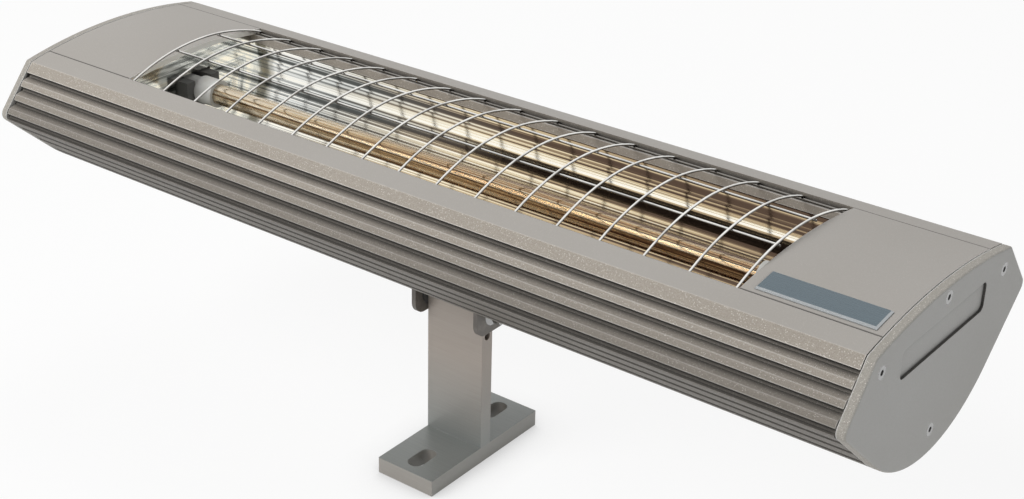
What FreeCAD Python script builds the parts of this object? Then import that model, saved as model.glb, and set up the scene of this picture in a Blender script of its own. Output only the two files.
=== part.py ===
import FreeCAD, Part
import math
import os
import Sketcher

# Infrared heater on a tilting bracket. Millimetres, X along the heater, Y to the back, Z up.
# The origin is the middle of the bracket's underside. The heater's own pieces are drawn from
# the lowest line of its belly, and their placement lifts them to the bracket's pivot.

doc = FreeCAD.newDocument("InfraredHeater")
sheet = doc.addObject("Spreadsheet::Sheet", "Sizes")


# Sizes

class Size:
    """A number together with the formula that gives it from the cells of the sheet."""

    def __init__(self, value, text=None):
        self.value = float(value)
        self.text = text or f"{self.value:.9g}"

    def __add__(self, other):
        other = as_size(other)
        return Size(self.value + other.value, f"({self.text} + {other.text})")

    def __sub__(self, other):
        other = as_size(other)
        return Size(self.value - other.value, f"({self.text} - {other.text})")

    def __mul__(self, other):
        other = as_size(other)
        return Size(self.value * other.value, f"({self.text} * {other.text})")

    def __truediv__(self, other):
        other = as_size(other)
        return Size(self.value / other.value, f"({self.text} / {other.text})")

    def __radd__(self, other):
        return as_size(other) + self

    def __rsub__(self, other):
        return as_size(other) - self

    def __rmul__(self, other):
        return as_size(other) * self

    def __neg__(self):
        return Size(-self.value, f"(0 - {self.text})")


def as_size(number):
    return number if isinstance(number, Size) else Size(number)


def root(size):
    return Size(math.sqrt(size.value), f"sqrt({size.text})")


def cell(alias, value, meaning):
    """Write one driving dimension into the sheet and give it back as a Size."""
    cell.row += 1
    sheet.set(f"A{cell.row}", meaning)
    sheet.set(f"B{cell.row}", str(value))
    sheet.setAlias(f"B{cell.row}", alias)
    return Size(value, f"Sizes.{alias}")


cell.row = 0

# Facets of the reflector on each side of its middle
MIRROR_FACETS = 9

# A point nearer to a hole than this many of its diameters belongs to the hole
HOLE_REACH = 0.75

# Bracket
base_length = cell("base_length", 87.5, "bracket foot, front to back")
base_thickness = cell("base_thickness", 9, "bracket foot thickness")
bracket_width = cell("bracket_width", 35, "bracket width along the heater")
post_thickness = cell("post_thickness", 8, "bracket post thickness")
slot_inset = cell("slot_inset", 13.75, "slot middle from the end of the foot")
slot_width = cell("slot_width", 9, "fixing slot width")
slot_length = cell("slot_length", 18, "fixing slot length end to end")
pivot_height = cell("pivot_height", 88, "pivot axis above the foot's underside")
post_over_pivot = cell("post_over_pivot", 8, "post top above the pivot axis")
port_drop = cell("port_drop", 14.5, "free screw port below the pivot axis")
port_bore = cell("port_bore", 4.2, "free screw port diameter")

# Pivot
bolt_diameter = cell("bolt_diameter", 5, "pivot bolt shank diameter")
bolt_grip = cell("bolt_grip", 13, "pivot bolt length inside the post")
bolt_flange = cell("bolt_flange", 13, "pivot bolt flange diameter")
bolt_flange_height = cell("bolt_flange_height", 1.8, "pivot bolt flange thickness")
bolt_hex = cell("bolt_hex", 8, "pivot bolt hexagon across flats")
bolt_hex_height = cell("bolt_hex_height", 4.2, "pivot bolt hexagon height")
washer_thickness = cell("washer_thickness", 0.8, "friction washer thickness")
washer_diameter = cell("washer_diameter", 15, "friction washer diameter")
running_gap = cell("running_gap", 0.1, "gap beside the turning ears")
bore_gap = cell("bore_gap", 0.05, "radial clearance of bores")
ear_width = cell("ear_width", 26, "saddle ear width front to back")
ear_drop = cell("ear_drop", 10, "saddle ear below the pivot axis")
ear_round = cell("ear_round", 7, "saddle ear corner radius")
saddle_sheet = cell("saddle_sheet", 2.5, "saddle sheet thickness")
saddle_bend = cell("saddle_bend", 3.5, "saddle outer bend radius")
land_over_pivot = cell("land_over_pivot", 13.7, "flat of the belly above the pivot axis")
saddle_screw_spacing = cell("saddle_screw_spacing", 20, "between the two saddle screws")
saddle_screw_length = cell("saddle_screw_length", 9, "saddle screw length")

# Housing section, heights from the lowest line of the belly
housing_length = cell("housing_length", 490.4, "extruded profile length")
crown_height = cell("crown_height", 80.4, "crest of the top")
shoulder_half = cell("shoulder_half", 61.5, "shoulder from the middle plane")
crown_drop = cell("crown_drop", 6.3, "shoulder below the crest")
waist_half = cell("waist_half", 83.3, "waist corner from the middle plane")
waist_share = cell("waist_share", 0.602, "height of the waist corner, as a share of the crest's")
shoulder_round = cell("shoulder_round", 2, "shoulder corner radius of the caps")
waist_round = cell("waist_round", 4.5, "waist corner radius of the caps")
waist_edge = cell("waist_edge", 3.3, "waist corner radius of the profile")
belly_share = cell("belly_share", 0.9208, "radius of the belly arc, as a share of the waist's half width")
land_half = cell("land_half", 14, "flat on the belly for the saddle, half width")
wall = cell("wall", 4.6, "profile wall")
block_wall = cell("block_wall", 1.35, "level width of the side wall at the corner block, in walls")
waist_wall = cell("waist_wall", 1.5, "level width of the side wall at the waist, in walls")
under_wall = cell("under_wall", 0.3, "inner wall in from the start of the belly arc, in walls")
floor_height = cell("floor_height", 6.4, "profile floor above the belly line")
rib_pitch_share = cell("rib_pitch_share", 0.2424, "pitch of the side ribs, as a share of the side's length")
rib_first_share = cell("rib_first_share", 0.187, "first rib below the shoulder, as a share of that length")
rib_depth = cell("rib_depth", 2.7, "depth of the step under a rib")
rib_foot = cell("rib_foot", 0.16, "share of a side rib's pitch that is cut to full depth")
rib_run = cell("rib_run", 0.61, "share of a side rib's pitch where its slope runs out")
rib_fall = cell("rib_fall", 0.35, "lip of a side rib behind the face")
rib_proud = cell("rib_proud", 0.5, "cut clear of the face")
side_ribs = cell("side_ribs", 4, "number of ribs on each side")
under_pitch_share = cell("under_pitch_share", 0.35, "pitch of the underside ribs, as a share of its length")
under_first_share = cell("under_first_share", 0.209, "first underside rib, as a share of that length")
under_rib_depth = cell("under_rib_depth", 2.2, "depth of the underside ribs")
under_ribs = cell("under_ribs", 3, "number of ribs on each underside")
under_foot = cell("under_foot", 0.16, "share of an underside rib's pitch that is cut to full depth")
under_run = cell("under_run", 0.36, "share of an underside rib's pitch where its slope runs out")
rail_width = cell("rail_width", 12.3, "rail from the shoulder to the mouth")
cover_length = cell("cover_length", 63.2, "cover plate length at each end")
ledge_width = cell("ledge_width", 4.2, "ledge that carries the covers")
ledge_depth = cell("ledge_depth", 11.1, "underside of that ledge below the crest")
cover_thickness = cell("cover_thickness", 3, "cover plate thickness")
seam = cell("seam", 0.15, "gap round covers and fitted plates")
block_setback = cell("block_setback", 1.3, "inner face of the corner blocks behind the edge of the mouth")
block_depth = cell("block_depth", 20.5, "underside of the corner blocks below the crest")
corner_screw_inset = cell("corner_screw_inset", 5.5, "upper cap screws in from the shoulder")
corner_screw_drop = cell("corner_screw_drop", 15, "upper cap screws below the crest")
top_screw_drop = cell("top_screw_drop", 5.2, "cap screw under the cover, below the crest")
low_screw_height = cell("low_screw_height", 12.4, "lower cap screw")
screw_diameter = cell("screw_diameter", 3.5, "cap and saddle screw diameter")
screw_head = cell("screw_head", 6.4, "countersunk head diameter")
head_depth = cell("head_depth", 2, "countersunk head depth")
screw_length = cell("screw_length", 18, "cap screw length")
screw_socket = cell("screw_socket", 2.5, "hexagon socket across flats")
socket_share = cell("socket_share", 0.7, "socket depth, as a share of the head's")
drill_over = cell("drill_over", 1, "tapped hole past the end of its screw")
boss_half = cell("boss_half", 4.2, "screw rib half width")

# End caps
cap_thickness = cell("cap_thickness", 4.3, "end cap thickness")
cap_round = cell("cap_round", 1, "end cap edge radius")
seal_thickness = cell("seal_thickness", 0.5, "end seal thickness")
seal_inset = cell("seal_inset", 0.4, "seal set back from the outline")
recess_length = cell("recess_length", 77, "shallow recess in the end cap")
recess_width = cell("recess_width", 14, "recess width")
recess_drop = cell("recess_drop", 20.2, "recess middle below the crest")
recess_round = cell("recess_round", 3, "recess corner radius")
recess_depth = cell("recess_depth", 1.2, "recess depth")
plate_gap = cell("plate_gap", 3.7, "blank plate from the end seal")
plate_setback = cell("plate_setback", 2.6, "blank plate from the front edge of its cover")
plate_width = cell("plate_width", 14.2, "blank plate width")
plate_thickness = cell("plate_thickness", 1.2, "blank plate thickness")
plate_bevel = cell("plate_bevel", 0.8, "blank plate bevel")
plate_inset = cell("plate_inset", 5.3, "blank plate from the mouth's end")

# Guard
wire = cell("wire", 1.2, "guard wire diameter")
wire_margin = cell("wire_margin", 2, "middles of the outer cross wires from the covers")
wire_count = cell("wire_count", 17, "number of cross wires")
guard_rise = cell("guard_rise", 4.2, "crest of the cross wires over the top's crest")
edge_wire_inset = cell("edge_wire_inset", 1.9, "edge wires inside the legs of the cross wires")
bow_room = cell("bow_room", 1.62, "cross wires over the ledges at the edge wires, in wires")
guard_bend = cell("guard_bend", 1.5, "bend radius at the ends of a cross wire")
long_wire_half = cell("long_wire_half", 15.5, "long wires from the middle plane")
weld_gap = cell("weld_gap", 0.05, "gap where wires cross")

# Reflector and lamp
focal = cell("focal", 17.5, "focal length of the reflector")
mirror_sheet = cell("mirror_sheet", 1.2, "reflector sheet")
mirror_overlap = cell("mirror_overlap", 4, "reflector past the mouth at each end")
mirror_lap = cell("mirror_lap", 1, "reflector rim under the ledges")
end_plate_drop = cell("end_plate_drop", 3.6, "reflector end plates below the trough")
mirror_back = cell("mirror_back", 1.3, "upright thickness of the reflector's slopes, in sheets")
tube_diameter = cell("tube_diameter", 11, "lamp tube diameter")
tube_wall = cell("tube_wall", 1, "lamp tube wall")
tube_overlap = cell("tube_overlap", 7, "lamp tube in its end cap")
filament_diameter = cell("filament_diameter", 2.6, "filament coil envelope")
support_pitch = cell("support_pitch", 36, "pitch of the filament supports")
support_width = cell("support_width", 1, "filament support width")
collar_diameter = cell("collar_diameter", 15, "collar of the ceramic lamp end")
collar_length = cell("collar_length", 12, "length of that collar")
lamp_neck = cell("lamp_neck", 12, "ceramic lamp end behind its collar, diameter")
lamp_cap_reach = cell("lamp_cap_reach", 20, "ceramic lamp end inside the reflector's end plate")
lamp_cap_past = cell("lamp_cap_past", 28, "ceramic lamp end outside that plate")
holder_length = cell("holder_length", 14, "lamp holder's seat along the lamp")
nose_drop = cell("nose_drop", 9, "nose of the lamp holder below the lamp axis")
nose_over = cell("nose_over", 6.5, "nose of the lamp holder above the lamp axis")
holder_width = cell("holder_width", 24, "lamp holder width")
holder_drop = cell("holder_drop", 15, "lamp holder seat below the lamp axis")
holder_over = cell("holder_over", 4, "lamp holder above the lamp axis")
bracket_sheet = cell("bracket_sheet", 1.5, "holder bracket sheet")
hole_margin = cell("hole_margin", 1, "gap round the lamp holder in the end plates")

# Supply
terminal_length = cell("terminal_length", 34, "terminal block length")
terminal_width = cell("terminal_width", 20, "terminal block width")
terminal_share = cell("terminal_share", 0.69, "height of the terminal block, as a share of its room")
terminal_inset = cell("terminal_inset", 10, "terminal block from the end of the profile")
well_inset = cell("well_inset", 8.5, "screw wells from the block's inner end")
well_pitch = cell("well_pitch", 6.6, "between the screw wells")
well_diameter = cell("well_diameter", 5, "screw well diameter")
well_depth = cell("well_depth", 5.4, "screw well depth")
lead_diameter = cell("lead_diameter", 3, "lamp lead diameter")
lead_bend_share = cell("lead_bend_share", 0.7, "lead bend radius, as a share of the room past the lamp")
gland_share = cell("gland_share", 0.46, "height of the cable gland, as a share of the crest's")
gland_stub = cell("gland_stub", 16, "gland thread diameter")
gland_hex = cell("gland_hex", 20, "gland hexagon across flats")
gland_hex_height = cell("gland_hex_height", 5, "gland hexagon height")
gland_dome_length = cell("gland_dome_length", 14, "gland dome nut length")
gland_bore = cell("gland_bore", 8, "gland cable bore")
gland_lip = cell("gland_lip", 2, "gland dome nut wall at its mouth")
gland_nut_height = cell("gland_nut_height", 4, "gland lock nut height")
doc.recompute()

# Places that several pieces share
slot_spacing = base_length - 2 * slot_inset
belly_radius = waist_half * belly_share
land_drop = belly_radius - root(belly_radius * belly_radius - land_half * land_half)
belly_z = pivot_height + land_over_pivot - land_drop
land_height = land_drop
ear_inner = bracket_width / 2 + washer_thickness + running_gap
ear_outer = ear_inner + saddle_sheet
web_under = pivot_height + land_over_pivot - saddle_sheet
shoulder_height = crown_height - crown_drop
waist_height = crown_height * waist_share
crown_radius = (shoulder_half * shoulder_half + crown_drop * crown_drop) / (2 * crown_drop)
mouth_half = shoulder_half - rail_width
mouth_length = housing_length - 2 * cover_length
ledge_half = mouth_half - ledge_width
ledge_underside = crown_height - ledge_depth
block_half = mouth_half + block_setback
block_height = crown_height - block_depth
corner_screw_half = shoulder_half - corner_screw_inset
corner_screw_height = crown_height - corner_screw_drop
top_screw_height = crown_height - top_screw_drop
recess_height = crown_height - recess_drop
plate_length = cover_length - plate_inset - plate_gap
wire_pitch = (mouth_length - 2 * wire_margin) / (wire_count - 1)
mirror_half = ledge_half + mirror_lap
rim_height = ledge_underside - seam
mirror_vertex = rim_height - mirror_half * mirror_half / (4 * focal)
lamp_height = mirror_vertex + focal
mirror_end = mouth_length / 2 + mirror_overlap
plate_end = mirror_end + mirror_sheet
lamp_cap_inner = mirror_end - lamp_cap_reach
lamp_cap_outer = plate_end + lamp_cap_past
collar_end = lamp_cap_inner + collar_length
holder_inner = lamp_cap_outer - holder_length
tube_end = lamp_cap_inner + tube_overlap
holder_seat = lamp_height - holder_drop
rib_top = low_screw_height + boss_half
seal_face = housing_length / 2
cap_face = seal_face + seal_thickness
outer_face = cap_face + cap_thickness
terminal_outer = seal_face - terminal_inset
terminal_inner = terminal_outer - terminal_length
terminal_height = (holder_seat - bracket_sheet - rib_top) * terminal_share
lead_level = rib_top + terminal_height / 2
gland_height = crown_height * gland_share
gland_inner = cap_face - 2 * gland_nut_height
lead_far = (lamp_cap_outer + gland_inner) / 2
lead_bend = (lead_far - lamp_cap_outer) * lead_bend_share
cap_screws = [
    (corner_screw_half, corner_screw_height),
    (-corner_screw_half, corner_screw_height),
    (Size(0), top_screw_height),
    (Size(0), low_screw_height),
]
leg_half = mouth_half - seam - wire / 2
crest_height = crown_height + guard_rise
edge_half = leg_half - edge_wire_inset


def on_crown(across, below=0):
    """Height of the crowned top, or of a surface that lies below it, at a distance from the middle."""
    radius = crown_radius - below
    return crown_height - crown_radius + root(radius * radius - across * across)


def belly_tangent():
    """Point where the straight underside runs into the belly arc."""
    down = waist_height - belly_radius
    square = waist_half * waist_half + down * down
    reach = root(square - belly_radius * belly_radius)
    across = (belly_radius * belly_radius * waist_half + belly_radius * reach * down) / square
    height = belly_radius + (belly_radius * belly_radius * down - belly_radius * reach * waist_half) / square
    return across, height


# Document helpers

def new_body(label, height=None):
    """A body named as its file, lifted by its placement."""
    body = doc.addObject("PartDesign::Body", label)
    body.Label = label
    body.AllowCompound = True
    if height is not None:
        body.setExpression("Placement.Base.z", height.text)
    return body


def origin(body, role):
    return next(feature for feature in body.Origin.OriginFeatures if feature.Role == role)


def new_sketch(body, name, role, offset=None):
    """A sketch on one of the body's origin planes, moved along that plane's normal."""
    sketch = body.newObject("Sketcher::SketchObject", f"{body.Name}_{name}")
    sketch.AttachmentSupport = [(origin(body, role), "")]
    sketch.MapMode = "FlatFace"
    if offset is not None:
        sketch.setExpression("AttachmentOffset.Base.z", offset.text)
    return sketch


def bind(sketch, index, size):
    sketch.setExpression(f"Constraints[{index}]", size.text)


def fix_point(sketch, geometry, end, across, height):
    """Tie one end of a piece of geometry to its place from the sketch's origin."""
    for kind, size in (("DistanceX", across), ("DistanceY", height)):
        index = sketch.addConstraint(Sketcher.Constraint(kind, -1, 1, geometry, end, size.value))
        bind(sketch, index, size)


def outline(sketch, corners, closed=True):
    """An outline through corners (across, height) or (across, height, radius): with a radius,
    an arc runs on to the next corner, bulging left of the way for a positive radius."""
    places = [tuple(as_size(number) for number in corner) for corner in corners]
    count = len(places)
    first = sketch.GeometryCount
    turned = []
    for number, place in enumerate(places if closed else places[:-1]):
        following = places[(number + 1) % count]
        start = FreeCAD.Vector(place[0].value, place[1].value, 0)
        end = FreeCAD.Vector(following[0].value, following[1].value, 0)
        if len(place) == 2:
            sketch.addGeometry(Part.LineSegment(start, end))
            turned.append(False)
            continue
        chord = end - start
        radius = place[2].value
        side = FreeCAD.Vector(-chord.y, chord.x, 0).normalize() * math.copysign(1, radius)
        sag = abs(radius) - math.sqrt(radius * radius - (chord.Length / 2) ** 2)
        middle = (start + end) * 0.5 + side * sag
        sketch.addGeometry(Part.Arc(start, middle, end))
        turned.append(radius > 0)
    for number, place in enumerate(places if closed else places[:-1]):
        geometry = first + number
        head = 2 if turned[number] else 1
        if closed or number > 0:
            before = first + (number - 1) % count
            tail = 1 if turned[(number - 1) % count] else 2
            sketch.addConstraint(Sketcher.Constraint("Coincident", before, tail, geometry, head))
        fix_point(sketch, geometry, head, place[0], place[1])
        if len(place) == 3:
            size = place[2] if place[2].value > 0 else -place[2]
            index = sketch.addConstraint(Sketcher.Constraint("Radius", geometry, size.value))
            bind(sketch, index, size)
    if not closed:
        tail = 1 if turned[-1] else 2
        fix_point(sketch, first + count - 2, tail, places[-1][0], places[-1][1])


def circle(sketch, across, height, diameter):
    across, height, diameter = as_size(across), as_size(height), as_size(diameter)
    centre = FreeCAD.Vector(across.value, height.value, 0)
    geometry = sketch.addGeometry(Part.Circle(centre, FreeCAD.Vector(0, 0, 1), diameter.value / 2))
    fix_point(sketch, geometry, 3, across, height)
    index = sketch.addConstraint(Sketcher.Constraint("Diameter", geometry, diameter.value))
    bind(sketch, index, diameter)


def rectangle(sketch, low, high):
    outline(sketch, [low, (high[0], low[1]), high, (low[0], high[1])])


def hexagon(sketch, across, height, flats):
    """A hexagon given across its flats, with two flats level."""
    side = flats / math.sqrt(3)
    outline(sketch, [
        (across + side, height),
        (across + side / 2, height + flats / 2),
        (across - side / 2, height + flats / 2),
        (across - side, height),
        (across - side / 2, height - flats / 2),
        (across + side / 2, height - flats / 2),
    ])


def extrude(body, kind, sketch, length=None, both=False, back=False):
    """A Pad or a Pocket of a sketch; a Pocket with no length goes right through both ways."""
    feature = body.newObject(f"PartDesign::{kind}", f"{sketch.Name}_{kind}")
    feature.Profile = sketch
    feature.SideType = "Symmetric" if both else "One side"
    feature.Reversed = back
    if length is None:
        feature.Type = "ThroughAll"
    else:
        feature.setExpression("Length", length.text)
    return feature


def pad(body, sketch, length, both=False, back=False):
    return extrude(body, "Pad", sketch, length, both, back)


def pocket(body, sketch, length=None, both=False, back=False):
    """A Pocket that has to take material away."""
    doc.recompute()
    before = body.Shape.Volume
    feature = extrude(body, "Pocket", sketch, length, both, back)
    doc.recompute()
    if not body.Shape.Volume < before:
        raise RuntimeError(f"{sketch.Name} cuts nothing")
    return feature


def pattern_copies(body, feature, direction, count, spacing):
    copies = body.newObject("PartDesign::LinearPattern", f"{feature.Name}_row")
    copies.Originals = [feature]
    copies.Direction = direction
    copies.Mode = "Spacing"
    copies.setExpression("Occurrences", count.text)
    copies.setExpression("Offset", spacing.text)
    body.Tip = copies
    doc.recompute()
    return copies


def edges_where(feature, test):
    """Names of the edges whose two ends and middle all pass a test on the point."""
    names = []
    for number, edge in enumerate(feature.Shape.Edges, 1):
        first, last = edge.ParameterRange
        points = [edge.valueAt(first), edge.valueAt((first + last) / 2), edge.valueAt(last)]
        if all(test(point) for point in points):
            names.append(f"Edge{number}")
    return names


def round_edges(body, feature, test, radius, kind="Fillet"):
    doc.recompute()
    dressed = body.newObject(f"PartDesign::{kind}", f"{feature.Name}_{kind}")
    dressed.Base = (feature, edges_where(feature, test))
    dressed.setExpression("Radius" if kind == "Fillet" else "Size", radius.text)
    body.Tip = dressed
    doc.recompute()
    return dressed


def near(number, size):
    return abs(number - as_size(size).value) < 1e-4


def revolve(body, corners, role="XZ_Plane", axis="H_Axis"):
    """Turn an outline about the sketch's own axis."""
    sketch = new_sketch(body, "turned", role)
    outline(sketch, corners)
    feature = body.newObject("PartDesign::Revolution", f"{body.Name}_revolution")
    feature.Profile = sketch
    feature.ReferenceAxis = (sketch, [axis])
    feature.Angle = 360
    doc.recompute()
    return feature


# Bracket

def make_bracket():
    """Extruded tee: slotted foot, upright post with a rounded top and two screw ports."""
    body = new_body("wall_bracket")
    section = new_sketch(body, "section", "YZ_Plane")
    post_half = post_thickness / 2
    post_end = pivot_height + post_over_pivot - post_half
    outline(section, [
        (-base_length / 2, 0),
        (base_length / 2, 0),
        (base_length / 2, base_thickness),
        (post_half, base_thickness),
        (post_half, post_end, -post_half),
        (0, post_end + post_half, -post_half),
        (-post_half, post_end),
        (-post_half, base_thickness),
        (-base_length / 2, base_thickness),
    ])
    pad(body, section, bracket_width, both=True)
    slots = new_sketch(body, "slots", "XY_Plane")
    straight = (slot_length - slot_width) / 2
    for side in (1, -1):
        middle = side * slot_spacing / 2
        radius = slot_width / 2
        outline(slots, [
            (radius, middle - straight),
            (radius, middle + straight, -radius),
            (0, middle + straight + radius, -radius),
            (-radius, middle + straight),
            (-radius, middle - straight, -radius),
            (0, middle - straight - radius, -radius),
        ])
    pocket(body, slots, base_thickness, back=True)
    ports = new_sketch(body, "ports", "YZ_Plane")
    circle(ports, 0, pivot_height, bolt_diameter + 2 * bore_gap)
    circle(ports, 0, pivot_height - port_drop, port_bore)
    pocket(body, ports, bracket_width, both=True)
    return body


def make_pivot_bolt(label, side):
    """Hexagon flange bolt screwed into the end of the post's upper port."""
    body = new_body(label, pivot_height)
    seat = ear_outer + running_gap
    tip = bracket_width / 2 - bolt_grip
    flange_end = seat + bolt_flange_height
    revolve(body, [
        (side * tip, 0),
        (side * tip, bolt_diameter / 2),
        (side * seat, bolt_diameter / 2),
        (side * seat, bolt_flange / 2),
        (side * flange_end, bolt_hex / 2),
        (side * flange_end, 0),
    ])
    head = new_sketch(body, "head", "YZ_Plane", side * flange_end)
    hexagon(head, Size(0), Size(0), bolt_hex)
    pad(body, head, bolt_hex_height, back=side < 0)
    return body


def make_pivot_washer(label, side):
    body = new_body(label, pivot_height)
    ring = new_sketch(body, "ring", "YZ_Plane", side * bracket_width / 2)
    circle(ring, 0, 0, washer_diameter)
    circle(ring, 0, 0, bolt_diameter + 2 * bore_gap)
    pad(body, ring, washer_thickness, back=side < 0)
    return body


def make_saddle():
    """Folded saddle: a web under the belly and two rounded ears on the pivot."""
    body = new_body("pivot_saddle")
    section = new_sketch(body, "section", "XZ_Plane")
    web_top = web_under + saddle_sheet
    ear_end = pivot_height - ear_drop
    bend = saddle_bend
    outline(section, [
        (-ear_outer, ear_end),
        (-ear_inner, ear_end),
        (-ear_inner, web_under),
        (ear_inner, web_under),
        (ear_inner, ear_end),
        (ear_outer, ear_end),
        (ear_outer, web_top - bend, -bend),
        (ear_outer - bend, web_top),
        (bend - ear_outer, web_top, -bend),
        (-ear_outer, web_top - bend),
    ])
    folded = pad(body, section, ear_width, both=True)
    half = ear_width / 2
    round_edges(
        body, folded,
        lambda point: near(abs(point.y), half) and near(point.z, ear_end),
        ear_round)
    bores = new_sketch(body, "bores", "YZ_Plane")
    circle(bores, 0, pivot_height, bolt_diameter + 2 * bore_gap)
    pocket(body, bores, ear_outer * 2, both=True)
    heads = new_sketch(body, "heads", "XY_Plane", web_under)
    for side in (1, -1):
        circle(heads, side * saddle_screw_spacing / 2, 0, screw_head + 2 * bore_gap)
    sink = pocket(body, heads, saddle_sheet, back=True)
    sink.setExpression("TaperAngle", countersink_taper(saddle_sheet).text)
    doc.recompute()
    return body


def countersink_taper(depth):
    """Inward taper that narrows a head to the shank over a depth."""
    narrow = (screw_head - screw_diameter) / 2
    angle = math.degrees(math.atan2(narrow.value, depth.value))
    return Size(-angle, f"-atan2({narrow.text}; {depth.text})")


def make_saddle_screws():
    """Two countersunk screws, flush under the web, into the profile's floor."""
    body = new_body("saddle_screws")
    shanks = new_sketch(body, "shanks", "XY_Plane", web_under)
    heads = new_sketch(body, "heads", "XY_Plane", web_under)
    sockets = new_sketch(body, "sockets", "XY_Plane", web_under)
    for side in (1, -1):
        across = side * saddle_screw_spacing / 2
        circle(shanks, across, 0, screw_diameter)
        circle(heads, across, 0, screw_head)
        hexagon(sockets, across, Size(0), screw_socket)
    pad(body, shanks, saddle_screw_length)
    cone = pad(body, heads, saddle_sheet)
    cone.setExpression("TaperAngle", countersink_taper(saddle_sheet).text)
    pocket(body, sockets, saddle_sheet * socket_share, back=True)
    return body


# Housing

def cavity_side():
    """Inner wall of the trough from the corner block down to the floor rib."""
    slope = (shoulder_height - waist_height) / (waist_half - shoulder_half)
    tangent = belly_tangent()
    block_outer = shoulder_half + (shoulder_height - block_height) / slope - wall * block_wall
    return [
        (block_half, block_height),
        (block_outer, block_height),
        (waist_half - wall * waist_wall, waist_height),
        (tangent[0] - wall * under_wall, tangent[1] + wall),
        (land_half + wall / 2, floor_height),
        (boss_half, floor_height),
        (boss_half, rib_top),
    ]


def mirrored(places):
    return [(-place[0],) + tuple(place[1:]) for place in places]


def make_housing():
    """Extruded trough: crowned rails, shiplap ribs, belly arc, ledges, corner blocks and a floor rib."""
    body = new_body("housing_profile", belly_z)
    section = new_sketch(body, "section", "YZ_Plane")
    tangent = belly_tangent()
    rebate = cover_thickness + seam
    right = [
        (mouth_half, on_crown(mouth_half), crown_radius),
        (shoulder_half, shoulder_height),
        (waist_half, waist_height),
        (tangent[0], tangent[1], belly_radius),
        (land_half, land_height),
    ]
    left = [
        (-land_half, land_height, belly_radius),
        (-tangent[0], tangent[1]),
        (-waist_half, waist_height),
        (-shoulder_half, shoulder_height, crown_radius),
        (-mouth_half, on_crown(mouth_half)),
    ]
    inside = [
        (mouth_half, on_crown(mouth_half, rebate)),
        (ledge_half, on_crown(ledge_half, rebate)),
        (ledge_half, ledge_underside),
        (block_half, ledge_underside),
    ] + cavity_side()
    outline(section, right + left + mirrored(inside) + list(reversed(inside)))
    trough = pad(body, section, housing_length, both=True)
    round_edges(
        body, trough,
        lambda point: near(abs(point.y), waist_half) and near(point.z, waist_height),
        waist_edge)
    ports = new_sketch(body, "ports", "YZ_Plane")
    for across, height in cap_screws:
        if height is not top_screw_height:
            circle(ports, across, height, screw_diameter + 2 * bore_gap)
    pocket(body, ports, housing_length, both=True)
    tapped = new_sketch(body, "tapped", "XY_Plane", land_height)
    for side in (1, -1):
        circle(tapped, side * saddle_screw_spacing / 2, 0, screw_diameter + 2 * bore_gap)
    pocket(body, tapped, saddle_screw_length - saddle_sheet + drill_over, back=True)
    rib_rows(body)
    return body


def slope_angle(down, across):
    return Size(math.degrees(math.atan2(down.value, across.value)), f"atan2({down.text}; {across.text})")


def rib_rows(body):
    """Shiplap steps down each side and on to the underside, one row each."""
    tangent = belly_tangent()
    side_slope = (waist_height - shoulder_height, waist_half - shoulder_half)
    under_slope = (tangent[1] - waist_height, tangent[0] - waist_half)
    side_cut = (rib_first_share, rib_pitch_share, rib_depth, rib_foot, rib_run)
    under_cut = (under_first_share, under_pitch_share, under_rib_depth, under_foot, under_run)
    rows = (
        ("side", (shoulder_half, shoulder_height), side_slope, side_cut, rib_fall, side_ribs),
        ("under", (waist_half, waist_height), under_slope, under_cut, None, under_ribs),
    )
    for hand, face in ((1, "back"), (-1, "front")):
        for name, corner, (down, across), (first_share, pitch_share, depth, foot, run), fall, count in rows:
            length = root(down * down + across * across)
            first = length * first_share
            pitch = length * pitch_share
            crest = first + pitch * run
            step = new_sketch(body, f"{face}_{name}_step", "YZ_Plane")
            step.setExpression("AttachmentOffset.Base.x", (hand * corner[0]).text)
            step.setExpression("AttachmentOffset.Base.y", corner[1].text)
            step.setExpression("AttachmentOffset.Rotation.Angle", slope_angle(down, hand * across).text)
            proud = hand * rib_proud
            groove = [
                (first, proud),
                (first, -hand * depth),
                (first + pitch * foot, -hand * depth),
                (crest, Size(0)),
            ]
            if fall is None:
                groove.append((crest, proud))
            else:
                groove += [(first + pitch, -hand * fall), (first + pitch, proud)]
            outline(step, groove)
            cut = pocket(body, step, housing_length, both=True)
            pattern_copies(body, cut, (step, ["H_Axis"]), count, pitch)


# Ends and covers

def cap_outline():
    """The heater's whole outer section."""
    tangent = belly_tangent()
    right = [(shoulder_half, shoulder_height), (waist_half, waist_height), tangent + (belly_radius,)]
    left = [
        (-tangent[0], tangent[1]),
        (-waist_half, waist_height),
        (-shoulder_half, shoulder_height, crown_radius),
    ]
    return right + left


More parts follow.
